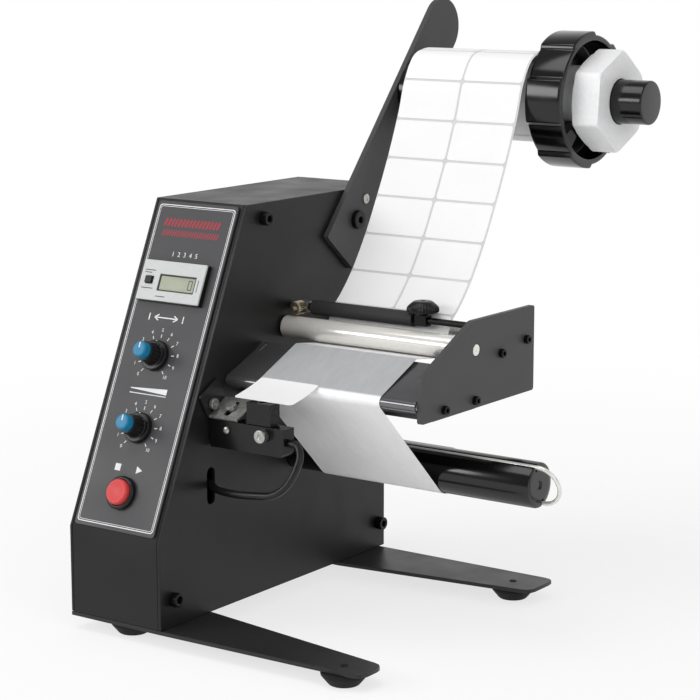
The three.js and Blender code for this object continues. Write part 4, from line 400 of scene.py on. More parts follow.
def paint(name, dark, light, rough, level, grain_um, *, metal=0.0, grain=1400.0, smear=0.06,
          patch=35.0, draw=(1.0, 1.0, 1.0)):
    """Fine noise runs from dark to light and lifts a grain, in µm. Broad noise varies gloss."""
    tree, shader, place = new_finish(name, rough, metal, level)
    fine = noise(tree, stretched(tree, place, draw), grain)
    broad = noise(tree, place, patch, 4.0)
    share = sums(tree, "MULTIPLY_ADD", fine, 0.6, sums(tree, "MULTIPLY", broad, 0.4))
    feed(tree, shader, {
        "Base Color": blend(tree, spread(tree, share, 0, 1), tone(*dark), tone(*light)),
        "Roughness": spread(tree, broad, max(0.02, rough - smear), rough + smear),
        "Normal": grain_of(tree, fine, grain_um / 1e6),
    })


print("dark grey as light", tone(28, 28, 29))

# %% [markdown]
# The sheet parts are powder coated, matt black with a fine orange peel, and
# the printed panel is a lighter grey. Rubber is dull, the knobs and the hub
# are smooth plastic, and the rods are plated steel, whose fine turning marks
# run round them.

# %% The finishes of this machine
paint("case_paint", (20, 20, 21), (28, 28, 29), 0.42, 0.3, 30)
paint("bar_paint", (33, 33, 34), (45, 45, 46), 0.4, 0.32, 30)
# The arm, outer plate and tray are a lighter grey than the case. Part of that is their paint, and
# part is painted light for the side lamp on their right-facing faces.
paint("arm_paint_with_painted_light", (63, 63, 64), (75, 75, 76), 0.5, 0.3, 30)
paint("panel_paint", (60, 60, 62), (70, 70, 72), 0.46, 0.35, 15)
paint("peel_plate_steel", (104, 104, 106), (120, 120, 122), 0.16, 0.5, 3, metal=0.7,
      draw=(0.04, 1.0, 1.0), grain=900.0, smear=0.03)
paint("hub_plastic", (2, 2, 2), (5, 5, 5), 0.15, 0.5, 2, smear=0.03)
paint("anodised_black", (4, 4, 4), (9, 9, 9), 0.15, 0.5, 2, draw=(1.0, 0.05, 0.05), grain=1800.0,
      smear=0.04)
paint("black_oxide", (12, 12, 13), (26, 25, 25), 0.36, 0.4, 8, metal=0.5)
paint("polished_steel", (226, 224, 218), (243, 241, 236), 0.2, 0.5, 2, metal=0.4,
      draw=(1.0, 0.06, 0.06), grain=2600.0, smear=0.04)
paint("zinc_steel", (150, 150, 147), (200, 199, 195), 0.32, 0.5, 10, metal=0.9, grain=700.0)
paint("worn_nickel_brass", (146, 138, 118), (196, 188, 164), 0.3, 0.5, 10, metal=0.95)
paint("foot_rubber", (18, 18, 18), (30, 30, 30), 0.72, 0.25, 40, grain=900.0)
paint("roller_rubber", (38, 38, 39), (52, 52, 53), 0.55, 0.3, 20)
paint("cable_skin", (9, 9, 10), (17, 17, 18), 0.38, 0.4, 15)
paint("nut_nylon", (232, 233, 234), (244, 244, 245), 0.34, 0.4, 5, grain=500.0)
paint("counter_plastic", (184, 186, 186), (198, 200, 200), 0.42, 0.35, 10)
paint("dial_plastic", (10, 10, 11), (19, 19, 20), 0.34, 0.35, 10)
paint("dial_cap_blue", (8, 110, 148), (16, 124, 164), 0.4, 0.4, 10)
paint("button_red", (196, 56, 56), (208, 68, 68), 0.42, 0.35, 8)
paint("print_white", (214, 215, 216), (234, 235, 236), 0.5, 0.3, 4)
paint("print_red", (150, 42, 54), (172, 56, 66), 0.5, 0.3, 4)
paint("display_glass", (146, 150, 132), (158, 162, 142), 0.18, 0.5, 2, patch=90.0)
paint("display_ink", (52, 56, 48), (66, 70, 60), 0.4, 0.3, 2)
paint("inlet_plastic", (14, 14, 15), (24, 24, 25), 0.4, 0.35, 12)
paint("sensor_plastic", (9, 9, 9), (17, 17, 18), 0.26, 0.35, 5)
paint("board_green", (22, 82, 50), (34, 104, 64), 0.45, 0.4, 10, grain=500.0)
paint("inlet_pin", (176, 170, 150), (206, 200, 182), 0.28, 0.5, 4, metal=1.0)
paint("label_paper", (236, 236, 236), (242, 242, 242), 0.5, 0.2, 4, grain=2200.0)
paint("core_card", (158, 134, 104), (182, 158, 126), 0.75, 0.2, 40, grain=500.0)
PAINTED_REACH = 0.0021


def two_tone_bracket(name, edge_x):
    """Zinc beyond a place along x, and the wall's black paint between that place and the wall."""
    tree, shader, place = new_finish(name, 0.34, level=0.4)
    bare = sums(tree, "GREATER_THAN", part_of(tree, place, "X"), float(edge_x))
    fine = noise(tree, place, 700.0)
    share = spread(tree, fine, 0, 1)
    zinc = blend(tree, share, tone(158, 158, 155), tone(204, 203, 199))
    black = blend(tree, share, tone(18, 18, 19), tone(27, 27, 28))
    feed(tree, shader, {"Base Color": blend(tree, bare, black, zinc),
                        "Metallic": sums(tree, "MULTIPLY", bare, 0.85),
                        "Normal": grain_of(tree, fine, 1e-5)})


two_tone_bracket("bracket_zinc", WALL + PAINTED_REACH)
print("finishes", len(bpy.data.materials))

# %% [markdown]
# The only cable joins the sensor to the board in the case. It leaves the case
# through a slot in the right wall, makes one open loop and stops close at the
# end of the sensor's holder, so both its ends are at the object. It is fairly
# stiff and follows the same points that its solid does in the CAD model.

# %% Sensor cable
CABLE_RADIUS = 2.3
CABLE_POINTS = [
    (-9, 48, 91), (0, 47.5, 90), (8, 43.5, 88.5), (22, 40.5, 88.6), (38, 40, 89.8), (52, 40.5, 92),
    (60.5, 42, 98), (65, 45, 107), (65.5, 49, 115.5), (62, 51, 120.7), (58.8, 51, 121.5),
    (56.4, 51, 121.5),
]
cable_path = smooth_path(CABLE_POINTS, 1.5)
cable_skin = tube(cable_path, CABLE_RADIUS, 20)
cable = add_piece("sensor_cable_skin", [cable_skin], "cable_skin", "sensor_cable")

# %% [markdown]
# The bent and cut sheet parts already have their right shape in the CAD
# frame, but their edges are knife sharp, and paint never is. A CAD mesh is
# left alone, so each part gets a merged copy whose sharp edges a Bevel
# modifier rounds by a few tenths of a millimetre.

# %% Eased copies of sheet parts
def merged(source, name, distance, flat_deg=0.0):
    """A copy of a mesh with close points merged and, where asked, flat neighbours made one."""
    work = bmesh.new()
    work.from_mesh(source)
    bmesh.ops.remove_doubles(work, verts=work.verts, dist=distance)
    if flat_deg:
        bmesh.ops.dissolve_limit(work, angle_limit=math.radians(flat_deg), verts=work.verts,
                                 edges=work.edges)
    mesh = bpy.data.meshes.new(name)
    work.to_mesh(mesh)
    work.free()
    return mesh


def eased_copy(node, finish, width_mm, bend_deg):
    """A merged copy of a node's mesh, its edges sharper than the angle rounded to the width."""
    mesh = merged(nodes[node].data, node + "_eased", 2e-6, 1.0)
    if "custom_normal" in mesh.attributes:
        mesh.attributes.remove(mesh.attributes["custom_normal"])
    shade(mesh, 30.0)
    piece = add_object(node + "_eased", mesh, finish, node)
    bevel = piece.modifiers.new("eased_edges", "BEVEL")
    bevel.width = width_mm / 1000.0
    bevel.segments = 2
    bevel.limit_method = "ANGLE"
    bevel.angle_limit = math.radians(bend_deg)
    bevel.use_clamp_overlap = True
    bevel.harden_normals = True


def ease_parts(groups, bend_deg):
    """Eased copies of the nodes in each group, which shares a finish, each with its width."""
    for finish, widths in groups.items():
        for node, width in widths.items():
            eased_copy(node, finish, width, bend_deg)
    print("eased parts", sum(map(len, groups.values())))


ease_parts({
    "case_paint": {"case_shell": 0.5, "left_side_plate": 0.4, "right_side_plate": 0.4,
                   "base_plate": 0.3},
    "panel_paint": {"control_faceplate": 0.35},
    "bar_paint": {"front_foot_bar": 0.35, "rear_foot_bar": 0.35},
    "arm_paint_with_painted_light": {"roll_arm": 0.5, "outboard_plate": 0.4, "cross_tray": 0.3},
    "peel_plate_steel": {"peel_plate": 0.45},
}, 38.0)

# %% [markdown]
# The small machined parts are done the same way: the blocks that guide the
# web, the sensor's bracket and holder, the motor and the board inside. Most
# of their edges are eased a little less, because they are milled and not
# painted.

# %% Eased copies of machined parts
ease_parts({
    "zinc_steel": {"left_guide_block": 0.4, "gearmotor": 0.5, "sensor_clamp_bolt": 0.25,
                   "bracket_screw": 0.3},
    "black_oxide": {"right_guide_block": 0.4, "press_shaft": 0.2, "spindle_nut": 0.4},
    "polished_steel": {"rear_guide_rod": 0.3},
    "anodised_black": {"middle_tie_rod": 0.3},
    "board_green": {"control_board": 0.15},
    "bracket_zinc": {"sensor_bracket": 0.2},
    "sensor_plastic": {"sensor_holder": 0.4, "sensor_head": 0.4},
    "counter_plastic": {"counter_housing": 0.35},
    "inlet_plastic": {"counter_reset": 0.25, "power_inlet": 0.5, "power_rocker": 0.4},
}, 45.0)

# %% [markdown]
# The left wall has cooling slots. A thin black sheet behind them is painted shade: it keeps the
# light out, so that the case looks dark inside, as it does through the cable's slot. It is a thin
# slab with eased rims: a stack of rounded outlines, drawn in at the bottom, full in the middle and
# drawn in again at the top.

# %% Painted shade: a black sheet behind the cooling slots
def rounded(middle, size, corner, levels, place, steps=4, tighten=0.0, ring=True):
    """A skin of rounded rectangles, one at each level, drawn in there by the level's inset."""
    rows = []
    for height, inset in levels:
        a, b = size[0] / 2 - inset, size[1] / 2 - inset
        corners = [(-a, -b), (a, -b), (a, b), (-a, b)]
        line = eased(corners, corner - tighten * inset, steps, closed=True)
        rows.append(place(middle[0] + line[:, 0], middle[1] + line[:, 1], height))
    return skin(np.stack(rows), ring)


def eased_slab(middle, size, corner, low, high, rim, place):
    """A slab from low to high, its outline drawn in by rim at the two faces."""
    insets = [(0.0, rim), (0.3 * rim, 0.3 * rim), (rim, 0.0)]
    levels = [(low + h, inset) for h, inset in insets]
    levels += [(high - h, inset) for h, inset in insets[::-1]]
    return rounded(middle, size, corner, levels, place, 5, ring=False)


# This sheet is painted shade, a dark stand-in for the shade inside the case.
shade_sheet = eased_slab((150, 104), (68, 80), 3.0, -67.6, -67.1, 0.1, lambda y, z, x: stacked(x, y, z))
add_piece("vent_shade_sheet", [shade_sheet], "foot_rubber")
print("gauze 68 by 80 mm")

# %% [markdown]
# The machine stands on four moulded rubber feet, wider at the top than at the
# table, each with a screw sunk in its middle. A foot is one turned profile,
# from the bottom of its screw hole, over its rim and up its stud.

# %% Rubber feet
FEET = {"case_foot_1": (-35, 16), "case_foot_2": (-35, 208), "bar_foot_1": (122.5, 13),
        "bar_foot_2": (114, 208)}
for node, place in FEET.items():
    stud_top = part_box(node)[1].z * 1000
    turned(node + "_rubber", [(2.2, 3.2), (0.0, 3.6), (0.0, 8.5), (6.0, 13.5), (8.0, 13.5),
           (8.0, 2.0), (stud_top, 2.0)], [0, 0.4, 1.2, 1.0, 0.5, 0.3, 0], (*place, 0.0), "up",
           "foot_rubber", node, ease_steps=4)
print("feet", len(FEET))

# %% [markdown]
# The cap screws have a round head and a six-sided socket for the key. The
# socket is a wave on the turned grid: the radius of its rows is the distance
# to the nearest of six flats. The screws of the case, of the outer plate and
# of the arm differ only in size.

# %% Socket screws
SOCKET_SCREWS = {
    "case_screw_{}": (0.0, (2.0, 4.25, 5.0, 4.0, 2.5),
                      [(101, 243.5), (11.7, 27.5), (222.8, 27.5)]),
    "bay_screw_{}": (139.0, (1.6, 2.7, 3.0, 2.6, 1.6),
                     [(177, 173), (148.5, 168.9), (120.2, 145.3), (87.3, 145.3)]),
    "arm_bolt": (4.0, (3.0, 6.0, 3.4, 4.0, 2.0), [(192.38, 233.59)]),
}


def hexed(angle, corner, turn=0.0):
    """Radius of a hexagon: corner · cos 30° / cos(((a - turn + 30°) mod 60°) - 30°)."""
    sixth = math.pi / 3
    return corner * math.cos(sixth / 2) / np.cos((angle - turn + sixth / 2) % sixth - sixth / 2)


def socket_screw(node, x, place, shank, head, height, flats, depth):
    """A cap screw along x: shank, head, and a socket where the wave takes six flats."""
    corner = flats / math.sqrt(3)
    start = (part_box(node)[0].x - WALL) * 1000
    foot, top = x + 0.3, x + height

    def socket(angle, along, radius):
        """Rows of the socket take the radius of a hexagon with these corners."""
        inside = (radius <= corner * 1.001) & (along > foot + 0.2)
        return np.where(inside, hexed(angle, radius), radius)

    corners = [(start, shank), (foot, shank), (foot, head), (top, head), (top, corner + 0.35),
               (top - 0.3, corner), (top - depth, corner)]
    turned(node + "_cap", corners, [0, 0.1, 0.25, 0.45, 0.1, 0.0, 0], (0, *place), "right",
           "black_oxide", node, steps=120, wave=socket)


for name, (x, sizes, places) in SOCKET_SCREWS.items():
    for number, place in enumerate(places, 1):
        socket_screw(name.format(number), x, place, *sizes)
turned("arm_pin_dowel", [(-2.0, 3.2), (4.6, 3.2), (4.6, 1.6), (4.3, 1.2)], [0, 0.35, 0.1, 0],
       (0, 202.83, 245.96), "right", "zinc_steel", "arm_pin")
print("screws", sum(len(places) for _, _, places in SOCKET_SCREWS.values()))

# %% [markdown]
# The spindle is a black anodised bar with a shoulder against the arm. The
# card core slides onto it and the labels are wound on the core. The roll's
# outer layer ends in a small step, so its radius changes evenly by one layer
# in a turn. Its sides show the layers as fine rings, drawn by noise that
# reads only the distance from the axis.

# %% Spindle, core and roll
SPINDLE = (0.0, 257.63, 310.81)
SPINDLE_RADIUS = 13.5
WEB_LEFT, WEB_RIGHT = 25.0, 112.0
CORE_BORE, CORE_RADIUS = 13.8, 16.8
ROLL_BORE, ROLL_RADIUS = 17.1, 27.5
LAYER = 0.35


def round_spindle(x, radius, angle):
    """Places at x, a radius from the spindle's axis and an angle up from the back."""
    return stacked(x, SPINDLE[1] + radius * np.cos(angle), SPINDLE[2] + radius * np.sin(angle))


def wound_finish(name, centre, dark, light):
    """Paper whose colour and grain follow noise over √(y² + z²), measured from the centre."""
    tree, shader, place = new_finish(name, 0.55, level=0.25)
    back = sums(tree, "SUBTRACT", part_of(tree, place, "Y"), float(centre[1]))
    up = sums(tree, "SUBTRACT", part_of(tree, place, "Z"), float(centre[2]))
    squares = sums(tree, "MULTIPLY_ADD", back, back, sums(tree, "MULTIPLY", up, up))
    line = add_node(tree, "CombineXYZ", {"X": sums(tree, "SQRT", squares)})
    layers = noise(tree, line, 2600.0, 2.0)
    feed(tree, shader, {
        "Base Color": blend(tree, spread(tree, layers, 0, 1), tone(*dark), tone(*light)),
        "Normal": grain_of(tree, layers, 4e-5),
    })


def last_layer(angle, along, radius):
    """The outer rows lose up to one layer, evenly through a turn that starts at the top."""
    lost = LAYER * ((angle - math.pi / 2) / (2 * math.pi) % 1.0)
    return radius - np.where(radius > 20.0, lost, 0.0)


wound_finish("wound_paper", metres(SPINDLE), (206, 206, 205), (240, 240, 240))
turned("spindle_bar", [(-7, 6), (4.4, 6), (4.4, 20), (24.7, 20), (24.7, SPINDLE_RADIUS),
       (177, SPINDLE_RADIUS), (177, 1.0)], [0, 0.2, 1.0, 1.0, 0.3, 1.1, 0], SPINDLE, "right",
       "anodised_black", "spindle_shaft", ease_steps=5, steps=96)
turned("card_core", sleeve(WEB_LEFT, WEB_RIGHT, CORE_BORE, CORE_RADIUS), 0.3, SPINDLE, "right",
       "core_card", "roll_core", ring=True)
turned("wound_roll", sleeve(WEB_LEFT, WEB_RIGHT, ROLL_BORE, ROLL_RADIUS), 0.25, SPINDLE, "right",
       "wound_paper", "label_roll", ring=True, steps=144, wave=last_layer)
print("roll", WEB_RIGHT - WEB_LEFT, "mm wide")

# %% [markdown]
# The hub is a moulded cup that slides along the spindle against the roll.
# Five broad lobes on its rim give the fingers a hold. On the grid they are a
# wave on the outer rows only. Its rim is slit in one place and has a lug
# inside, which a union and a difference give it, since a grid can't have
# them.

# %% Locking hub
LOBES, LOBE_HEIGHT = 5, 2.2
LOBE_TURN, LOBE_SPAN, LOBE_FLANK = math.radians(13), math.radians(43), math.radians(4)
HUB_BORE = 13.9


def soft_step(value):
    """0 below 0, 1 above 1, and 3v² - 2v³ between."""
    v = np.clip(value, 0.0, 1.0)
    return v * v * (3 - 2 * v)


def lobed(angle, along, radius):
    """Rows beyond 38 mm rise by the lobe's height within its span, with soft flanks."""
    place = (angle - LOBE_TURN) % (2 * math.pi / LOBES)
    rise = soft_step(place / LOBE_FLANK) * soft_step((LOBE_SPAN - place) / LOBE_FLANK)
    return radius + LOBE_HEIGHT * rise * np.clip((radius - 38.0) / 1.6, 0.0, 1.0)


def arc_block(name, inner, outer, start_deg, end_deg, low, high, ease):
    """A block between two radii, two angles and two places along the spindle, its rims eased."""
    corners = eased([(inner, 0.0), (outer, 0.0), (outer, 1.0), (inner, 1.0)], ease, closed=True)
    angle = np.radians(start_deg + (end_deg - start_deg) * corners[:, 1])
    grid = round_spindle(np.linspace(low, high, 8)[:, None], corners[:, 0], angle)
    return add_piece(name, [skin(grid)], "hub_plastic", body="side_hub")


def carve(piece, tool, kind):
    """Joins the tool to the piece, or takes it away from it, for good, and drops the tool."""
    step = piece.modifiers.new("carve", "BOOLEAN")
    step.operation, step.object, step.solver = kind, tool, "EXACT"
    bpy.context.view_layer.update()
    evaluated = piece.evaluated_get(bpy.context.evaluated_depsgraph_get())
    done = bpy.data.meshes.new_from_object(evaluated)
    piece.modifiers.clear()
    piece.data = done
    shade(done)
    bpy.data.objects.remove(tool)


hub = turned("locking_hub", [(112.3, HUB_BORE), (112.3, 40), (136.8, 40), (136.8, 36.5),
             (119.3, 36.5), (119.3, HUB_BORE)], [0.4, 2.0, 1.3, 0.8, 1.6, 0.4], SPINDLE, "right",
             "hub_plastic", "hub_ring", ease_steps=5, ring=True, steps=360, wave=lobed)
carve(hub, arc_block("hub_lug", 22.5, 38.0, 211, 227, 127.8, 136.7, 0.2), "UNION")
carve(hub, arc_block("hub_slit", 30.0, 45.0, -39.7, -37.3, 119.4, 140.0, 0.1), "DIFFERENCE")
print("hub faces", len(hub.data.polygons))

# %% [markdown]
# The hexagon nut is moulded in pale nylon. Its radius is the smaller of two:
# that of the hexagon and that of its turned blank, whose ends are chamfered.
# The corners of a moulding are round, so where the two are close the lesser
# one is reached softly.

# %% Hexagon nut
NUT_FLATS = 55.0
NUT_TURN = math.radians(-5)
SHARPNESS = 5.0


def blank(angle, along, radius):
    """Rows beyond 25 mm: -ln(e^-sr + e^-sh)/s of the row's radius r and the hexagon's h."""
    flats = hexed(angle, NUT_FLATS / math.sqrt(3), NUT_TURN)
    soft = -np.logaddexp(-SHARPNESS * radius, -SHARPNESS * flats) / SHARPNESS
    return np.where(radius > 25.0, soft, radius)


turned("nylon_nut", [(119.6, HUB_BORE), (119.6, 21), (137.6, 21), (137.6, 28.2), (138.8, 31.6),
       (154.9, 31.6), (156.1, 30.3), (156.1, HUB_BORE)], [0.4, 0.6, 0.3, 0.3, 0.8, 0.5, 0.5, 0.5],
       SPINDLE, "right", "nut_nylon", "hub_nut", ease_steps=4, ring=True, steps=240, wave=blank)
print("nut", NUT_FLATS, "mm across flats")

# %% [markdown]
# The guide roller is the thick bright one. It turns in the wall and in the
# outer plate, where the end of its journal shows as a pale spot. The press
# roller above it is a thin rubber tube on a fixed shaft.

# %% Rollers
ROLLER, ROLLER_RADIUS = (0.0, 121.9, 174.7), 7.0
PRESS, PRESS_RADIUS = (0.0, 131.5, 186.6), 4.5
turned("guide_roller_tube", [(-12, 3.5), (1.5, 3.5), (1.5, ROLLER_RADIUS), (134.5, ROLLER_RADIUS),
       (134.5, 3.5), (139, 3.5), (139, 1.0), (138.6, 0.6)], [0, 0.2, 0.5, 0.5, 0.2, 0.4, 0.1, 0],
       ROLLER, "right", "polished_steel", "guide_roller", ease_steps=4, steps=96)
turned("press_roller_tube", sleeve(15, 89.5, 2.3, PRESS_RADIUS), 0.3, PRESS, "right",
       "roller_rubber", "press_roller", ring=True)
print("rollers 2")

# %% [markdown]
# Two small blocks on the press shaft keep the web in line. The left one is
# held by a knurled screw of worn nickel brass, and the right one by a black
# moulded knob with a fluted rim.

# %% Clamping screws of the guide blocks
turned("knurled_screw_brass", [(2.3, 1.4), (3.5, 1.4), (3.5, 3.6), (4.3, 4.4), (10.2, 4.4),
       (11, 3.6), (11, 1.4), (13, 1.4), (13, 0.4)], [0, 0.1, 0.1, 0.3, 0.3, 0.3, 0.2, 0.5, 0],
       (8.5, PRESS[1], PRESS[2]), "front", "worn_nickel_brass", "knurled_screw", steps=144,
       wave=knurl(24, 0.55, 4.0, 10.6))
turned("thumb_knob_moulding", [(188.9, 1.4), (190.1, 1.4), (190.1, 3.2), (191.5, 3.2),
       (191.5, 9.7), (194.5, 9.7), (198.3, 5.5), (198.3, 1.6), (197.9, 1.0)],
       [0, 0.1, 0.2, 0.2, 1.0, 1.2, 1.6, 0.2, 0], (95.3, PRESS[1], 0.0), "up", "dial_plastic",
       "thumb_knob", ease_steps=5, steps=192, wave=knurl(32, 0.45, 192.0, 196.0))
print("clamping screws 2")

# %% [markdown]
# The empty backing paper winds onto a black shaft with two long grooves. A
# bent spring wire lies in them and traps the end of the paper, and is drawn
# out by its loop to free the wound paper. A groove's walls are steep, so the
# columns of the grid are close together there, and the wave lowers those
# between them to a floor.

# %% Winding shaft and its wire
REWIND, REWIND_RADIUS = (0.0, 135.0, 96.6), 13.6
GROOVES = np.radians([110.0, 290.0])
GROOVE_FLOOR, GROOVE_REACH = 9.5, math.radians(7.1)
SHAFT_END = 175.0
WIRE_PLACE, WIRE_RADIUS = 12.2, 1.3
LEG_POINTS = 24


def nearest_groove(angle):
    """The angle to the middle of the nearer groove, from -90 to 90 degrees."""
    return (angle - GROOVES[0] + math.pi / 2) % math.pi - math.pi / 2


def grooved(angle, along, radius):
    """Rows past 61 mm that lie beyond the floor fall to it, floor/cos b, within a groove."""
    aside = nearest_groove(angle)
    inside = (np.abs(aside) < GROOVE_REACH) & (along > 61.0) & (radius > GROOVE_FLOOR)
    return np.where(inside, GROOVE_FLOOR / np.cos(aside), radius)


even_angles = np.radians(np.arange(0.0, 360.0, 3.0))
even_angles = even_angles[np.abs(nearest_groove(even_angles)) > math.radians(8.5)]
close = np.radians([-8.2, -7.35, -7.0, -3.5, 0.0, 3.5, 7.0, 7.35, 8.2])
shaft_angles = np.sort(np.concatenate([even_angles, *(g + close for g in GROOVES)]))
shaft_profile = [(-15.3, 5.0), (-1.7, 5.0), (-1.7, 13.3)]
shaft_profile += [(x, REWIND_RADIUS) for x in (-1.4, 60.9, 61.1, 100.0, SHAFT_END - 1.0)]
shaft_profile += [(SHAFT_END - 0.3, 13.3), (SHAFT_END, 12.6), (SHAFT_END, 9.6),
                  (SHAFT_END, 3.0), (SHAFT_END - 1.0, 2.0)]
turned("winding_shaft", shaft_profile, None, REWIND, "right", "anodised_black", "rewind_shaft",
       angles=shaft_angles, wave=grooved)

half_turn = np.linspace(0.0, math.pi, 25)[1:-1]
leg = np.linspace(62.0, SHAFT_END + 1.0, LEG_POINTS)
side = np.full(LEG_POINTS, WIRE_PLACE)
along = np.concatenate([leg, leg[-1] + WIRE_PLACE * np.sin(half_turn), leg[::-1]])
aside = np.concatenate([side, WIRE_PLACE * np.cos(half_turn), -side])
clip_path = stacked(along, REWIND[1] + aside * math.cos(GROOVES[0]),
                    REWIND[2] + aside * math.sin(GROOVES[0]))
add_piece("winding_clip_wire", [tube(clip_path, WIRE_RADIUS)], "polished_steel", "rewind_clip")
print("shaft columns", len(shaft_angles))

# %% [markdown]
# The web is backing paper with two columns of labels. Its path is that of the CAD solid: a free
# fall through listed points, then arcs round the press roller, the guide roller, the peel plate's
# rear edge and nose, and the winding shaft, joined by straight runs that touch both arcs. Every
# point of the web is a length along the path, a place across it and a height over it.

# %% Path of the web
FALL_SHARES = [(0.853, 1.01), (0.737, 0.985), (0.654, 0.895), (0.593, 0.756), (0.501, 0.584),
               (0.4, 0.425), (0.29, 0.269), (0.174, 0.136), (0.079, 0.053)]
NOSE, NOSE_RADIUS = np.array([66.0, 150.3]), 3.75
REAR_RADIUS = 0.6
PEEL_SLOPE = math.radians(24.0)
LIFT = 0.5
WRAP = math.radians(200)
FALL_LENGTH = 209.3


def over_peel(setback, height):
    """A point over the peel plate's slope, by its setback and its height off the sheet."""
    lift = (NOSE_RADIUS + height) / math.cos(PEEL_SLOPE)
    return np.array([setback, NOSE[1] + lift + (setback - NOSE[0]) * math.tan(PEEL_SLOPE)])


PEEL_BACK = over_peel((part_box("peel_plate")[1].y - FRONT) * 1000 - REAR_RADIUS, -REAR_RADIUS)
ARCS = [(np.array(middle), radius + LIFT, side) for middle, radius, side in (
    (PRESS[1:], PRESS_RADIUS, -1), (ROLLER[1:], ROLLER_RADIUS, -1), (PEEL_BACK, REAR_RADIUS, 1),
    (NOSE, NOSE_RADIUS, 1), (REWIND[1:], REWIND_RADIUS, 1))]


def leaves_at(first, second):
    """The angle at which a line that touches two circles leaves the first, meets the second."""
    (a, ra, sa), (b, rb, sb) = first, second
    reach = b - a
    return math.atan2(reach[1], reach[0]) + math.acos((sb * rb - sa * ra) / np.linalg.norm(reach))


def arc(circle, start, end):
    """Points of a circle: its middle minus side · radius · (cos, sin) of each angle."""
    middle, radius, side = circle
    turn = ((end - start) * side) % (2 * math.pi)
    angle = start + side * np.linspace(0.0, turn, max(2, round(turn / 0.06)))
    return middle - side * radius * stacked(np.cos(angle), np.sin(angle))


def web_path():
    """The path from the top of the roll to the end of its wrap on the shaft, at even steps."""
    top = np.array([SPINDLE[1], SPINDLE[2] + ROLL_RADIUS + LIFT])
    foot = ARCS[0][0] + np.array([ARCS[0][1], 0.0])
    bend = foot + np.array(FALL_SHARES) * (top - foot)
    parts = [smooth_path(np.vstack([top, bend, foot]), 0.5)]
    arriving = 0.0
    for circle, following in zip(ARCS, ARCS[1:] + [None]):
        leaving = leaves_at(circle, following) if following else arriving + WRAP
        parts.append(arc(circle, arriving, leaving))
        arriving = leaving
    line = np.vstack(parts)
    return even(line[np.diff(run_of(line), prepend=-1.0) > 1e-4], 0.4)


PATH = web_path()
PATH_RUN = run_of(PATH)
PATH_WAY = way_of(PATH)


def on_web(length, x, height):
    """The point at a length along the path, x across it, and a height over its printed side."""
    y, z, dy, dz = (np.interp(length, PATH_RUN, v) for v in (*PATH.T, *PATH_WAY.T))
    return stacked(x, y + dz * height, z - dy * height)


print("path", round(PATH_RUN[-1], 1), "mm")

# %% [markdown]
# The backing paper is one closed skin a fifth of a millimetre thick, a hair under the middle of
# the CAD web, so that the labels lie on it and touch nothing else. Its colour is darkest on the
# plate, and less dark where it falls from the roll: this darkening is painted shade, not a colour
# of the paper.

# %% Backing paper
PAPER_LOW, PAPER_TOP = -0.2, -0.02
FALL_SHADE_SHARE = 0.62


def glassine(name, free, shaded_colour):
    """Paper with painted shade: its colour runs from the free colour to a darker one by a point
    attribute that holds the share of painted shade.
    """
    tree, shader, place = new_finish(name, 0.34, level=0.35)
    shade_share = add_node(tree, "Attribute", {}, "Fac", attribute_name="painted_shade")
    cloud = spread(tree, noise(tree, stretched(tree, place, (1.0, 0.3, 0.3)), 260.0, 5.0), 0, 1)
    pale, dull = (blend(tree, cloud, tone(*dark), tone(*light)) for dark, light in (free, shaded_colour))
    feed(tree, shader, {"Base Color": blend(tree, shade_share, pale, dull),
                        "Normal": grain_of(tree, cloud, 5e-6)})


def strip(lengths, left, right, low, high, place):
    """A skin along a path: for each length the four corners of the strip's section."""
    x = stacked(left, right, right, left)
    return skin(place(lengths[:, None], x, np.array([low, low, high, high])))


glassine("backing_paper", ((240, 240, 241), (246, 246, 247)), ((172, 173, 175), (180, 181, 183)))
paper_steps = np.linspace(0.0, PATH_RUN[-1], 900)
paper_strip = strip(paper_steps, WEB_LEFT, WEB_RIGHT, PAPER_LOW, PAPER_TOP, on_web)
paper = add_piece("backing_paper", [paper_strip], "backing_paper", "label_web",
                  bend_deg=STRIP_SHARP_DEG)
plate_start, plate_end = (PATH_RUN[np.argmin(np.linalg.norm(PATH - edge, axis=1))]
                          for edge in (PEEL_BACK, NOSE))
# Painted shade: the share is full on the peel plate and smaller along the fall from the roll, and
# the paper's colour is darkened by it.
over = soft_step((paper_steps - plate_start + 6) / 6)
over *= soft_step((plate_end + 1 - paper_steps) / 2)
over = np.maximum(over, FALL_SHADE_SHARE * soft_step((FALL_LENGTH + 8 - paper_steps) / 6))
shade_share = paper.data.attributes.new("painted_shade", "FLOAT", "POINT")
shade_share.data.foreach_set("value", np.repeat(over, 4))
print("paper", WEB_RIGHT - WEB_LEFT, "mm wide")

# %% [markdown]
# The labels are cut with round corners and narrow gaps that show the paper.
# Near an end the half-width is W/2 - r + √(r² - (r - s)²), s from that end,
# which draws a quarter circle with rows of the same grid. The same rows are
# laid on the web and, bent round the spindle, on the roll.

# %% Labels on the web and the roll
ROW_PITCH = 25.7
LABEL_GAP = 1.5
LABEL_CORNER = 2.0
LABEL_TOP = 0.17
COLUMN_WIDTH = 42.0
COLUMNS = (WEB_LEFT + 0.3, WEB_LEFT + 0.3 + COLUMN_WIDTH + LABEL_GAP)
FIRST_LINE = 50.8 - 2 * ROW_PITCH


def label_rows(start, end):
    """Lengths of a label's rows and how far each draws in from its sides at round corners."""
    share = np.linspace(0.0, math.pi / 2, 6)
    from_end = LABEL_CORNER * (1 - np.cos(share))
    middle = np.linspace(start + LABEL_CORNER, end - LABEL_CORNER, 24)[1:-1]
    lengths = np.concatenate([start + from_end, middle, end - from_end[::-1]])
    near = np.minimum(np.minimum(lengths - start, end - lengths), LABEL_CORNER)
    return lengths, LABEL_CORNER - np.sqrt(LABEL_CORNER**2 - (LABEL_CORNER - near) ** 2)


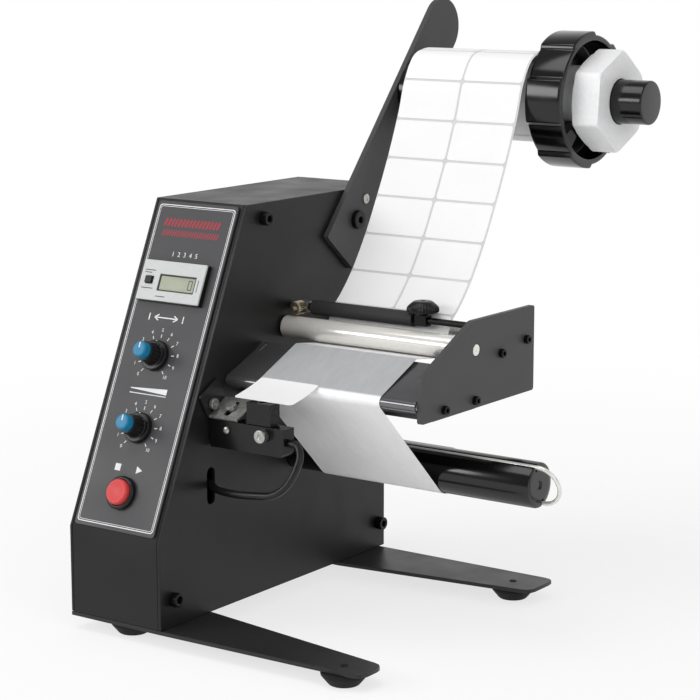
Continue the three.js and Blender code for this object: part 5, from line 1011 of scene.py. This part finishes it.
def label(start, end, left, low, high, place):
    """One label as a closed skin from start to end, its left side at a place across."""
    lengths, inset = label_rows(start, end)
    return strip(lengths, left + inset, left + COLUMN_WIDTH - inset, low, high, place)


def label_sheet(name, rows, body, place):
    """One mesh of the labels of all rows and columns."""
    skins = [label(*row, left, 0.0, LABEL_TOP, place) for row in rows for left in COLUMNS]
    add_piece(name, skins, "label_paper", body=body, bend_deg=STRIP_SHARP_DEG)


def on_roll(length, x, height):
    """The point at a length round the roll, from its top backwards, and a height over it."""
    return round_spindle(x, ROLL_RADIUS + 0.02 + height, math.pi / 2 - length / ROLL_RADIUS)


row_starts = FIRST_LINE + ROW_PITCH * np.arange(9) + LABEL_GAP / 2
row_ends = np.minimum(row_starts + ROW_PITCH - LABEL_GAP, FALL_LENGTH + 4.0)
row_starts = np.maximum(row_starts, 0.6)
web_rows = [(a, b) for a, b in zip(row_starts, row_ends) if b - a > 3 * LABEL_CORNER]
label_sheet("labels_on_web", web_rows, "machine", on_web)
roll_rows = [(LABEL_GAP + i * ROW_PITCH, (i + 1) * ROW_PITCH) for i in range(6)]
label_sheet("labels_on_roll", roll_rows, "supply", on_roll)
print("labels", len(web_rows) * len(COLUMNS), "and", len(roll_rows) * len(COLUMNS))

# %% [markdown]
# One label has left its paper at the sharp nose of the peel plate and stands
# out over the sensor, ready to be taken. It leaves along the slope of the
# plate and droops a little as it goes: a curve of second degree from the nose
# to its free end.

# %% The peeled label
PEELED_LENGTH = 27.0
PEELED_LEFT = 26.0
peel_start = over_peel(NOSE[0] - NOSE_RADIUS * math.sin(PEEL_SLOPE), 1.15)
peel_bend = peel_start - np.array([9.0, 9.0 * math.tan(PEEL_SLOPE)])
peel_tip = peel_start - np.array([26.8, 7.2])


def on_peeled(length, x, height):
    """(1-t)²A + 2t(1-t)B + t²C along the label, with the height set off across its direction."""
    t = length[..., None] / PEELED_LENGTH
    spot = (1 - t) ** 2 * peel_start + 2 * t * (1 - t) * peel_bend + t**2 * peel_tip
    way = (1 - t) * (peel_bend - peel_start) + t * (peel_tip - peel_bend)
    way = way / np.linalg.norm(way, axis=-1, keepdims=True)
    return stacked(x, spot[..., 0] + way[..., 1] * height, spot[..., 1] - way[..., 0] * height)


peeled = label(0.0, PEELED_LENGTH, PEELED_LEFT, -0.1, 0.1, on_peeled)
add_piece("peeled_label_paper", [peeled], "label_paper", "peeled_label", bend_deg=STRIP_SHARP_DEG)
print("peeled label", COLUMN_WIDTH, "by", PEELED_LENGTH, "mm")

# %% [markdown]
# The sensor looks at the gaps between the labels. Its holder hangs from a
# slotted zinc bracket, and two screws hold it: one to slide it and one to set
# its height. Only the screws are new shapes here.

# %% Screws of the sensor
turned("sensor_thumb_screw_zinc", [(-6, 1.5), (0.3, 1.5), (0.3, 4), (5, 4), (5, 1.5), (4.4, 1.0)],
       [0, 0.1, 0.4, 0.7, 0.3, 0], (41.7, 46.0, 125.2), "front", "zinc_steel",
       "sensor_thumb_screw", ease_steps=4, steps=144)
turned("holder_screw", [(-3, 1.2), (0.1, 1.2), (0.1, 2.3), (1.5, 2.3), (2.0, 1.0)],
       [0, 0.1, 0.2, 0.8, 0], (14.3, 46.0, 125.0), "front", "zinc_steel", body="sensor",
       ease_steps=4)
print("sensor screws 2")

# %% [markdown]
# Print on the panel is a film of ink. It is modelled as closed skins a few
# hundredths of a millimetre thick, so that it stays on the part in any
# program. A stroke is a bar between two points, a frame is a ring of
# sections, and numbers come from the built-in plain font.

# %% Helpers for print
INK_LOW, INK_HIGH = 1.49, 1.56


def frame_print(middle, size, corner, width):
    """A frame of ink: its outline and the inner edge, at both levels of the ink, as a ring."""
    levels = [(INK_LOW, 0.0), (INK_LOW, width), (INK_HIGH, width), (INK_HIGH, 0.0)]
    return rounded(middle, size, corner, levels, on_panel, steps=6, tighten=0.5)


def stroke(x0, t0, x1, t1, width, taper=1.0, low=INK_LOW, high=INK_HIGH):
    """A straight bar from one point to another, its end as wide as taper times its start."""
    start, end = np.array([x0, t0], float), np.array([x1, t1], float)
    way = (end - start) / np.linalg.norm(end - start)
    side = np.array([-way[1], way[0]]) * width / 2
    corners = np.stack([[start - side, start + side], [end - side * taper, end + side * taper]])
    x, t = np.moveaxis(corners[:, [0, 1, 1, 0]], -1, 0)
    return skin(on_panel(x, t, np.array([low, low, high, high])))


def numeral(text, x, t, size):
    """A number in the plain font, laid on the panel with its middle at x and t."""
    curve = bpy.data.curves.new("numeral", "FONT")
    curve.body, curve.size, curve.extrude = text, size, (INK_HIGH - INK_LOW) / 2
    curve.align_x, curve.align_y = "CENTER", "CENTER"
    curve.resolution_u = 3
    holder = bpy.data.objects.new("numeral", curve)
    raw = bpy.data.meshes.new_from_object(holder)
    mesh = merged(raw, "numeral", 1e-4)
    flat = np.empty(len(mesh.vertices) * 3)
    mesh.vertices.foreach_get("co", flat)
    px, pt, pn = flat.reshape(-1, 3).T
    faces = [list(face.vertices) for face in mesh.polygons]
    bpy.data.objects.remove(holder)
    bpy.data.curves.remove(curve)
    for used in (raw, mesh):
        bpy.data.meshes.remove(used)
    return on_panel(px + x, pt + t, pn + (INK_LOW + INK_HIGH) / 2), faces


print("ink", round(INK_HIGH - INK_LOW, 3), "mm")

# %% [markdown]
# A thin double line runs round the panel, and each dial has a scale from 0 to
# 10. Plain signs stand where a panel has its captions: a spacing sign, a
# wedge, a square for stop and a triangle for start. A band of short red
# slants takes the title's place. Places were measured in the photograph, and
# loops draw what repeats.

# %% Border, scales and signs
DIALS = {"length_dial": (-37.0, 109.0), "speed_dial": (-35.5, 64.5)}
SCALE_TURNS = np.radians(np.linspace(-140.0, 140.0, 11))
SIGN_LINE = 132.6

border = [frame_print((-35.0, 103.7), size, corner, width) for size, corner, width in (
    ((58.8, 199.0), 2.4, 0.55), ((56.4, 196.6), 1.8, 0.28))]
add_piece("panel_border", border, "print_white")

numbers, signs = [], []
for middle in DIALS.values():
    for value, turn in enumerate(SCALE_TURNS):
        out = np.array([math.sin(turn), math.cos(turn)])
        numbers.append(numeral(str(value), *(middle + 16.0 * out), 3.1))
        signs.append(stroke(*(middle + 11.3 * out), *(middle + 13.4 * out), 0.5))
add_piece("dial_numbers", numbers, "print_white")

signs.append(stroke(-46, SIGN_LINE, -28, SIGN_LINE, 0.7))
for tip, barb, end in ((-46, -42.8, -50), (-28, -31.2, -24)):
    signs += [stroke(tip, SIGN_LINE, barb, SIGN_LINE + rise, 0.7) for rise in (1.8, -1.8)]
    signs.append(stroke(end, SIGN_LINE - 2.2, end, SIGN_LINE + 2.2, 0.7))
signs += [stroke(-50, 88.0, -22, 88.0, 0.5, 7.0), stroke(-50, 85.2, -22, 85.2, 0.5),
          stroke(-46, 39.6, -41.8, 39.6, 4.2), stroke(-29.5, 39.6, -25.2, 39.6, 4.6, 0.02)]
add_piece("panel_signs", signs, "print_white")
counting = [numeral(str(i + 1), -44.5 + 4.5 * i, 172.2, 4.2) for i in range(5)]
add_piece("counter_numbers", counting, "print_white")
slants = [stroke(x, 189.6, x + 1.6, 194.4, 1.5) for x in np.arange(-57.0, -14.0, 2.7)]
slants += [stroke(x, 183.4, x + 1.2, 187.2, 0.8) for x in np.arange(-57.0, -14.0, 1.9)]
add_piece("red_band", slants, "print_red")
print("numbers", len(numbers), "strokes", len(signs))

# %% [markdown]
# The counter is a pale moulding with a sunken window. Its display is a thin
# slab of grey green glass, with a dark zero made of the strokes of a
# seven-stroke figure.

# %% Display of the counter
WINDOW = (-32.5, 153.2)
SURROUND_LEVELS = [(1.62, 0.3), (1.62, 0.0), (4.6, 0.0), (4.6, 0.3)]
SHADE_RIM_LEVELS = [(4.84, 0.0), (4.84, 0.9), (5.35, 0.75), (5.78, 0.35), (5.78, 0.0)]
FIGURE, HALF_WIDE, HALF_TALL = (-22.6, 153.2), 1.3, 2.8

surround = rounded((-37, 154.2), (48.7, 25.7), 1.0, SURROUND_LEVELS, on_panel)
add_piece("counter_surround", [surround], "dial_plastic")
# The dark ring round the glass is painted shade: it stands in for the shadow on the inner walls of
# the sunken window.
rim = rounded(WINDOW, (27.96, 10.36), 0.5, SHADE_RIM_LEVELS, on_panel)
add_piece("window_shade_rim", [rim], "display_ink")
marks = [(-58.6, 160.2, -50.6, 160.2), (-58.6, 158.7, -53.2, 158.7), (-58.9, 148.9, -49.8, 148.9),
         (-46.2, 144.4, -38.8, 144.4), (-16.4, 149.4, -16.4, 156.8)]
add_piece("counter_marks", [stroke(*mark, 0.5, low=5.78, high=5.84) for mark in marks],
          "display_ink")
glass = eased_slab(WINDOW, (26.4, 8.8), 0.4, 4.83, 5.05, 0.06, on_panel)
add_piece("counter_glass", [glass], "display_glass")

zero = [(-1, 1, 1, 1), (-1, -1, 1, -1), (-1, 0, -1, 1), (1, 0, 1, 1), (-1, -1, -1, 0),
        (1, -1, 1, 0)]
ends = np.array(FIGURE * 2) + np.array(zero) * (HALF_WIDE, HALF_TALL, HALF_WIDE, HALF_TALL)
figure = [stroke(*end, 0.55, low=5.04, high=5.09) for end in ends]
add_piece("counter_figure", figure, "display_ink")
print("display figure 0")

# %% [markdown]
# Each dial has a skirt, a fluted black body and a blue cap that carries a
# white pointer. The cap is a piece of its own, because it is pressed on in
# another colour. Flutes are a wave on the body's rows.

# %% Dials
for node, (x, t) in DIALS.items():
    middle = on_panel(x, t, 0.0)
    turned(node + "_body", [(-12, 3), (1.9, 3), (1.9, 9.5), (4.9, 9.2), (4.9, 6.8), (13.7, 5.9),
           (13.7, 2.0)], [0, 0.2, 0.4, 0.7, 0.5, 0.5, 0], middle, "out", "dial_plastic", node,
           ease_steps=4, steps=180, wave=knurl(18, 0.7, 5.3, 13.2))
    turned(node + "_cap", [(13.5, 4.0), (13.7, 5.0), (18.3, 4.8), (18.9, 3.9), (18.8, 0.8)],
           [0, 0.1, 0.6, 0.5, 0], middle, "out", "dial_cap_blue", body=node, ease_steps=5)
    pointer = [stroke(x, t + 0.6, x, t + 4.0, 0.8, low=18.7, high=18.89),
               stroke(x, t + 7.0, x, t + 9.0, 0.9, low=4.6, high=4.89)]
    add_piece(node + "_pointer", pointer, "print_white", body=node)
print("dials", len(DIALS))

# %% [markdown]
# The start button is a red cap with a shallow hollow for the fingertip, in a
# black collar that is screwed through the panel.

# %% Start button
BUTTON = (-35.5, 24.5)
CAP_TOP, CAP_DEPTH = 7.9, 9.0
turned("button_collar", [(-14, 8.2), (-14, 8.9), (1.8, 8.9), (1.8, 10.2), (4.0, 10.2), (5.0, 9.2),
       (5.0, 8.2)], [0.1, 0.2, 0.2, 0.4, 0.5, 0.4, 0.3], on_panel(*BUTTON, 0.0), "out",
       "dial_plastic", "button_bezel", ring=True, steps=96)
turned("start_button", [(CAP_TOP - CAP_DEPTH, 7.8), (6.9, 7.8), (CAP_TOP, 6.9), (CAP_TOP, 6.2),
       (7.35, 3.0), (7.2, 0.8)], [0, 0.6, 0.5, 0.4, 1.5, 0], on_panel(*BUTTON, 0.0), "out",
       "button_red", "button_cap", ease_steps=5, steps=96)
print("button", BUTTON)

# %% [markdown]
# Nothing of the mains inlet shows in the photograph. It is the usual kind
# with three flat pins in a sunken socket, in the back of the case.

# %% Pins of the mains inlet
pins = [eased_slab(place, (2.0, 5.0), 0.4, 214.0, 229.0, 0.4, lambda x, z, y: stacked(x, y, z))
        for place in ((-42, 59.0), (-28, 59.0), (-35, 62.5))]
add_piece("inlet_pins", pins, "inlet_pin")
print("pins", len(pins))

# %% [markdown]
# The photograph was taken on a pale floor in a white room. Near the machine
# a part of what is seen of the floor is matt paint, which takes the soft
# shadow. Further out it turns into an even white glow for rays that see it
# directly, so that it meets the white of the room without a horizon.

# %% Floor
FLOOR_REACH = 25.0
PAINT_REACH, GLOW_REACH = 0.15, 0.9
NEAR_GLOW = 0.72


def seen_directly(tree):
    """1 for rays of the camera, of reflections and of clear things, and 0 for rays of light."""
    kinds = [add_node(tree, "LightPath", {}, f"Is {kind} Ray")
             for kind in ("Camera", "Glossy", "Transmission")]
    return sums(tree, "MAXIMUM", sums(tree, "MAXIMUM", *kinds[:2]), kinds[2])


corners = [(x * FLOOR_REACH, y * FLOOR_REACH, 0) for x, y in ((-1, -1), (1, -1), (1, 1), (-1, 1))]
floor_mesh = bpy.data.meshes.new("floor")
floor_mesh.from_pydata(corners, [], [(0, 1, 2, 3)])
floor = bpy.data.objects.new("floor", floor_mesh)
bpy.context.scene.collection.objects.link(floor)

floor_paint = bpy.data.materials.new("floor_paint")
floor_paint.use_nodes = True
tree = floor_paint.node_tree
tree.nodes.clear()
place = add_node(tree, "TexCoord", {}, "Object")
distance = add_node(tree, "VectorMath", {0: place}, "Value", operation="LENGTH")
share = spread(tree, distance, NEAR_GLOW, 1.0, PAINT_REACH, GLOW_REACH, "SMOOTHSTEP")
matt = add_node(tree, "BsdfDiffuse", {"Color": (0.93, 0.93, 0.93, 1.0)})
glow = add_node(tree, "Emission", {"Strength": 1.0})
both = add_node(tree, "MixShader", {"Fac": sums(tree, "MULTIPLY", seen_directly(tree), share),
                                    1: matt, 2: glow})
feed(tree, tree.nodes.new("ShaderNodeOutputMaterial"), {"Surface": both})
floor_mesh.materials.append(floor_paint)
print("floor", FLOOR_REACH * 2, "m")

# %% [markdown]
# Light comes evenly from the whole room and from three soft lamps: a wide
# flat one at the left of the camera, which draws the bands along the hub and
# the spindle, one above, and a weaker one at the right. What mirrors in the
# glossy black parts is white behind the machine and dim in front of it, so
# that these parts stay black between their bands.

# %% World and lamps
ROOM_LEVEL = 0.55
MIRRORED_FRONT, MIRRORED_BACK = 0.3, 1.0
FRONT_ENDS, BACK_STARTS = 0.35, 0.8
LAMP_AIM = Vector((0.0, 0.0, 0.19))

world = bpy.data.worlds.new("room")
world.use_nodes = True
bpy.context.scene.world = world
tree = world.node_tree
level = sums(tree, "MULTIPLY_ADD", seen_directly(tree), 1.0 - ROOM_LEVEL, ROOM_LEVEL)
way = part_of(tree, add_node(tree, "TexCoord", {}, "Generated"), "Y")
mirror = spread(tree, way, MIRRORED_FRONT, MIRRORED_BACK, FRONT_ENDS, BACK_STARTS, "SMOOTHSTEP")
mirrored = add_node(tree, "LightPath", {}, "Is Glossy Ray")
dimmed = sums(tree, "MULTIPLY_ADD", mirrored, sums(tree, "SUBTRACT", mirror, 1.0), 1.0)
background = next(n for n in tree.nodes if n.type == "BACKGROUND")
feed(tree, background, {"Color": (1.0, 1.0, 1.0, 1.0),
                        "Strength": sums(tree, "MULTIPLY", level, dimmed)})


def soft_lamp(name, way, distance, wide, tall, power):
    """A rectangular lamp some way off along a direction from the machine's middle, facing it."""
    way = Vector(way).normalized()
    light = bpy.data.lights.new(name, "AREA")
    light.shape = "RECTANGLE"
    light.size, light.size_y, light.energy = wide, tall, power
    lamp = bpy.data.objects.new(name, light)
    lamp.location = LAMP_AIM + way * distance
    lamp.rotation_euler = way.to_track_quat("Z", "Y").to_euler()
    bpy.context.scene.collection.objects.link(lamp)


soft_lamp("key_lamp", (-0.57, -0.73, 0.3), 1.8, 1.3, 0.45, 11.0)
soft_lamp("top_lamp", (-0.15, -0.35, 1.0), 1.7, 1.2, 1.0, 9.4)
soft_lamp("side_lamp", (0.95, -0.5, 0.5), 2.0, 1.0, 1.2, 6.0)
print("lamps", len(bpy.data.lights))
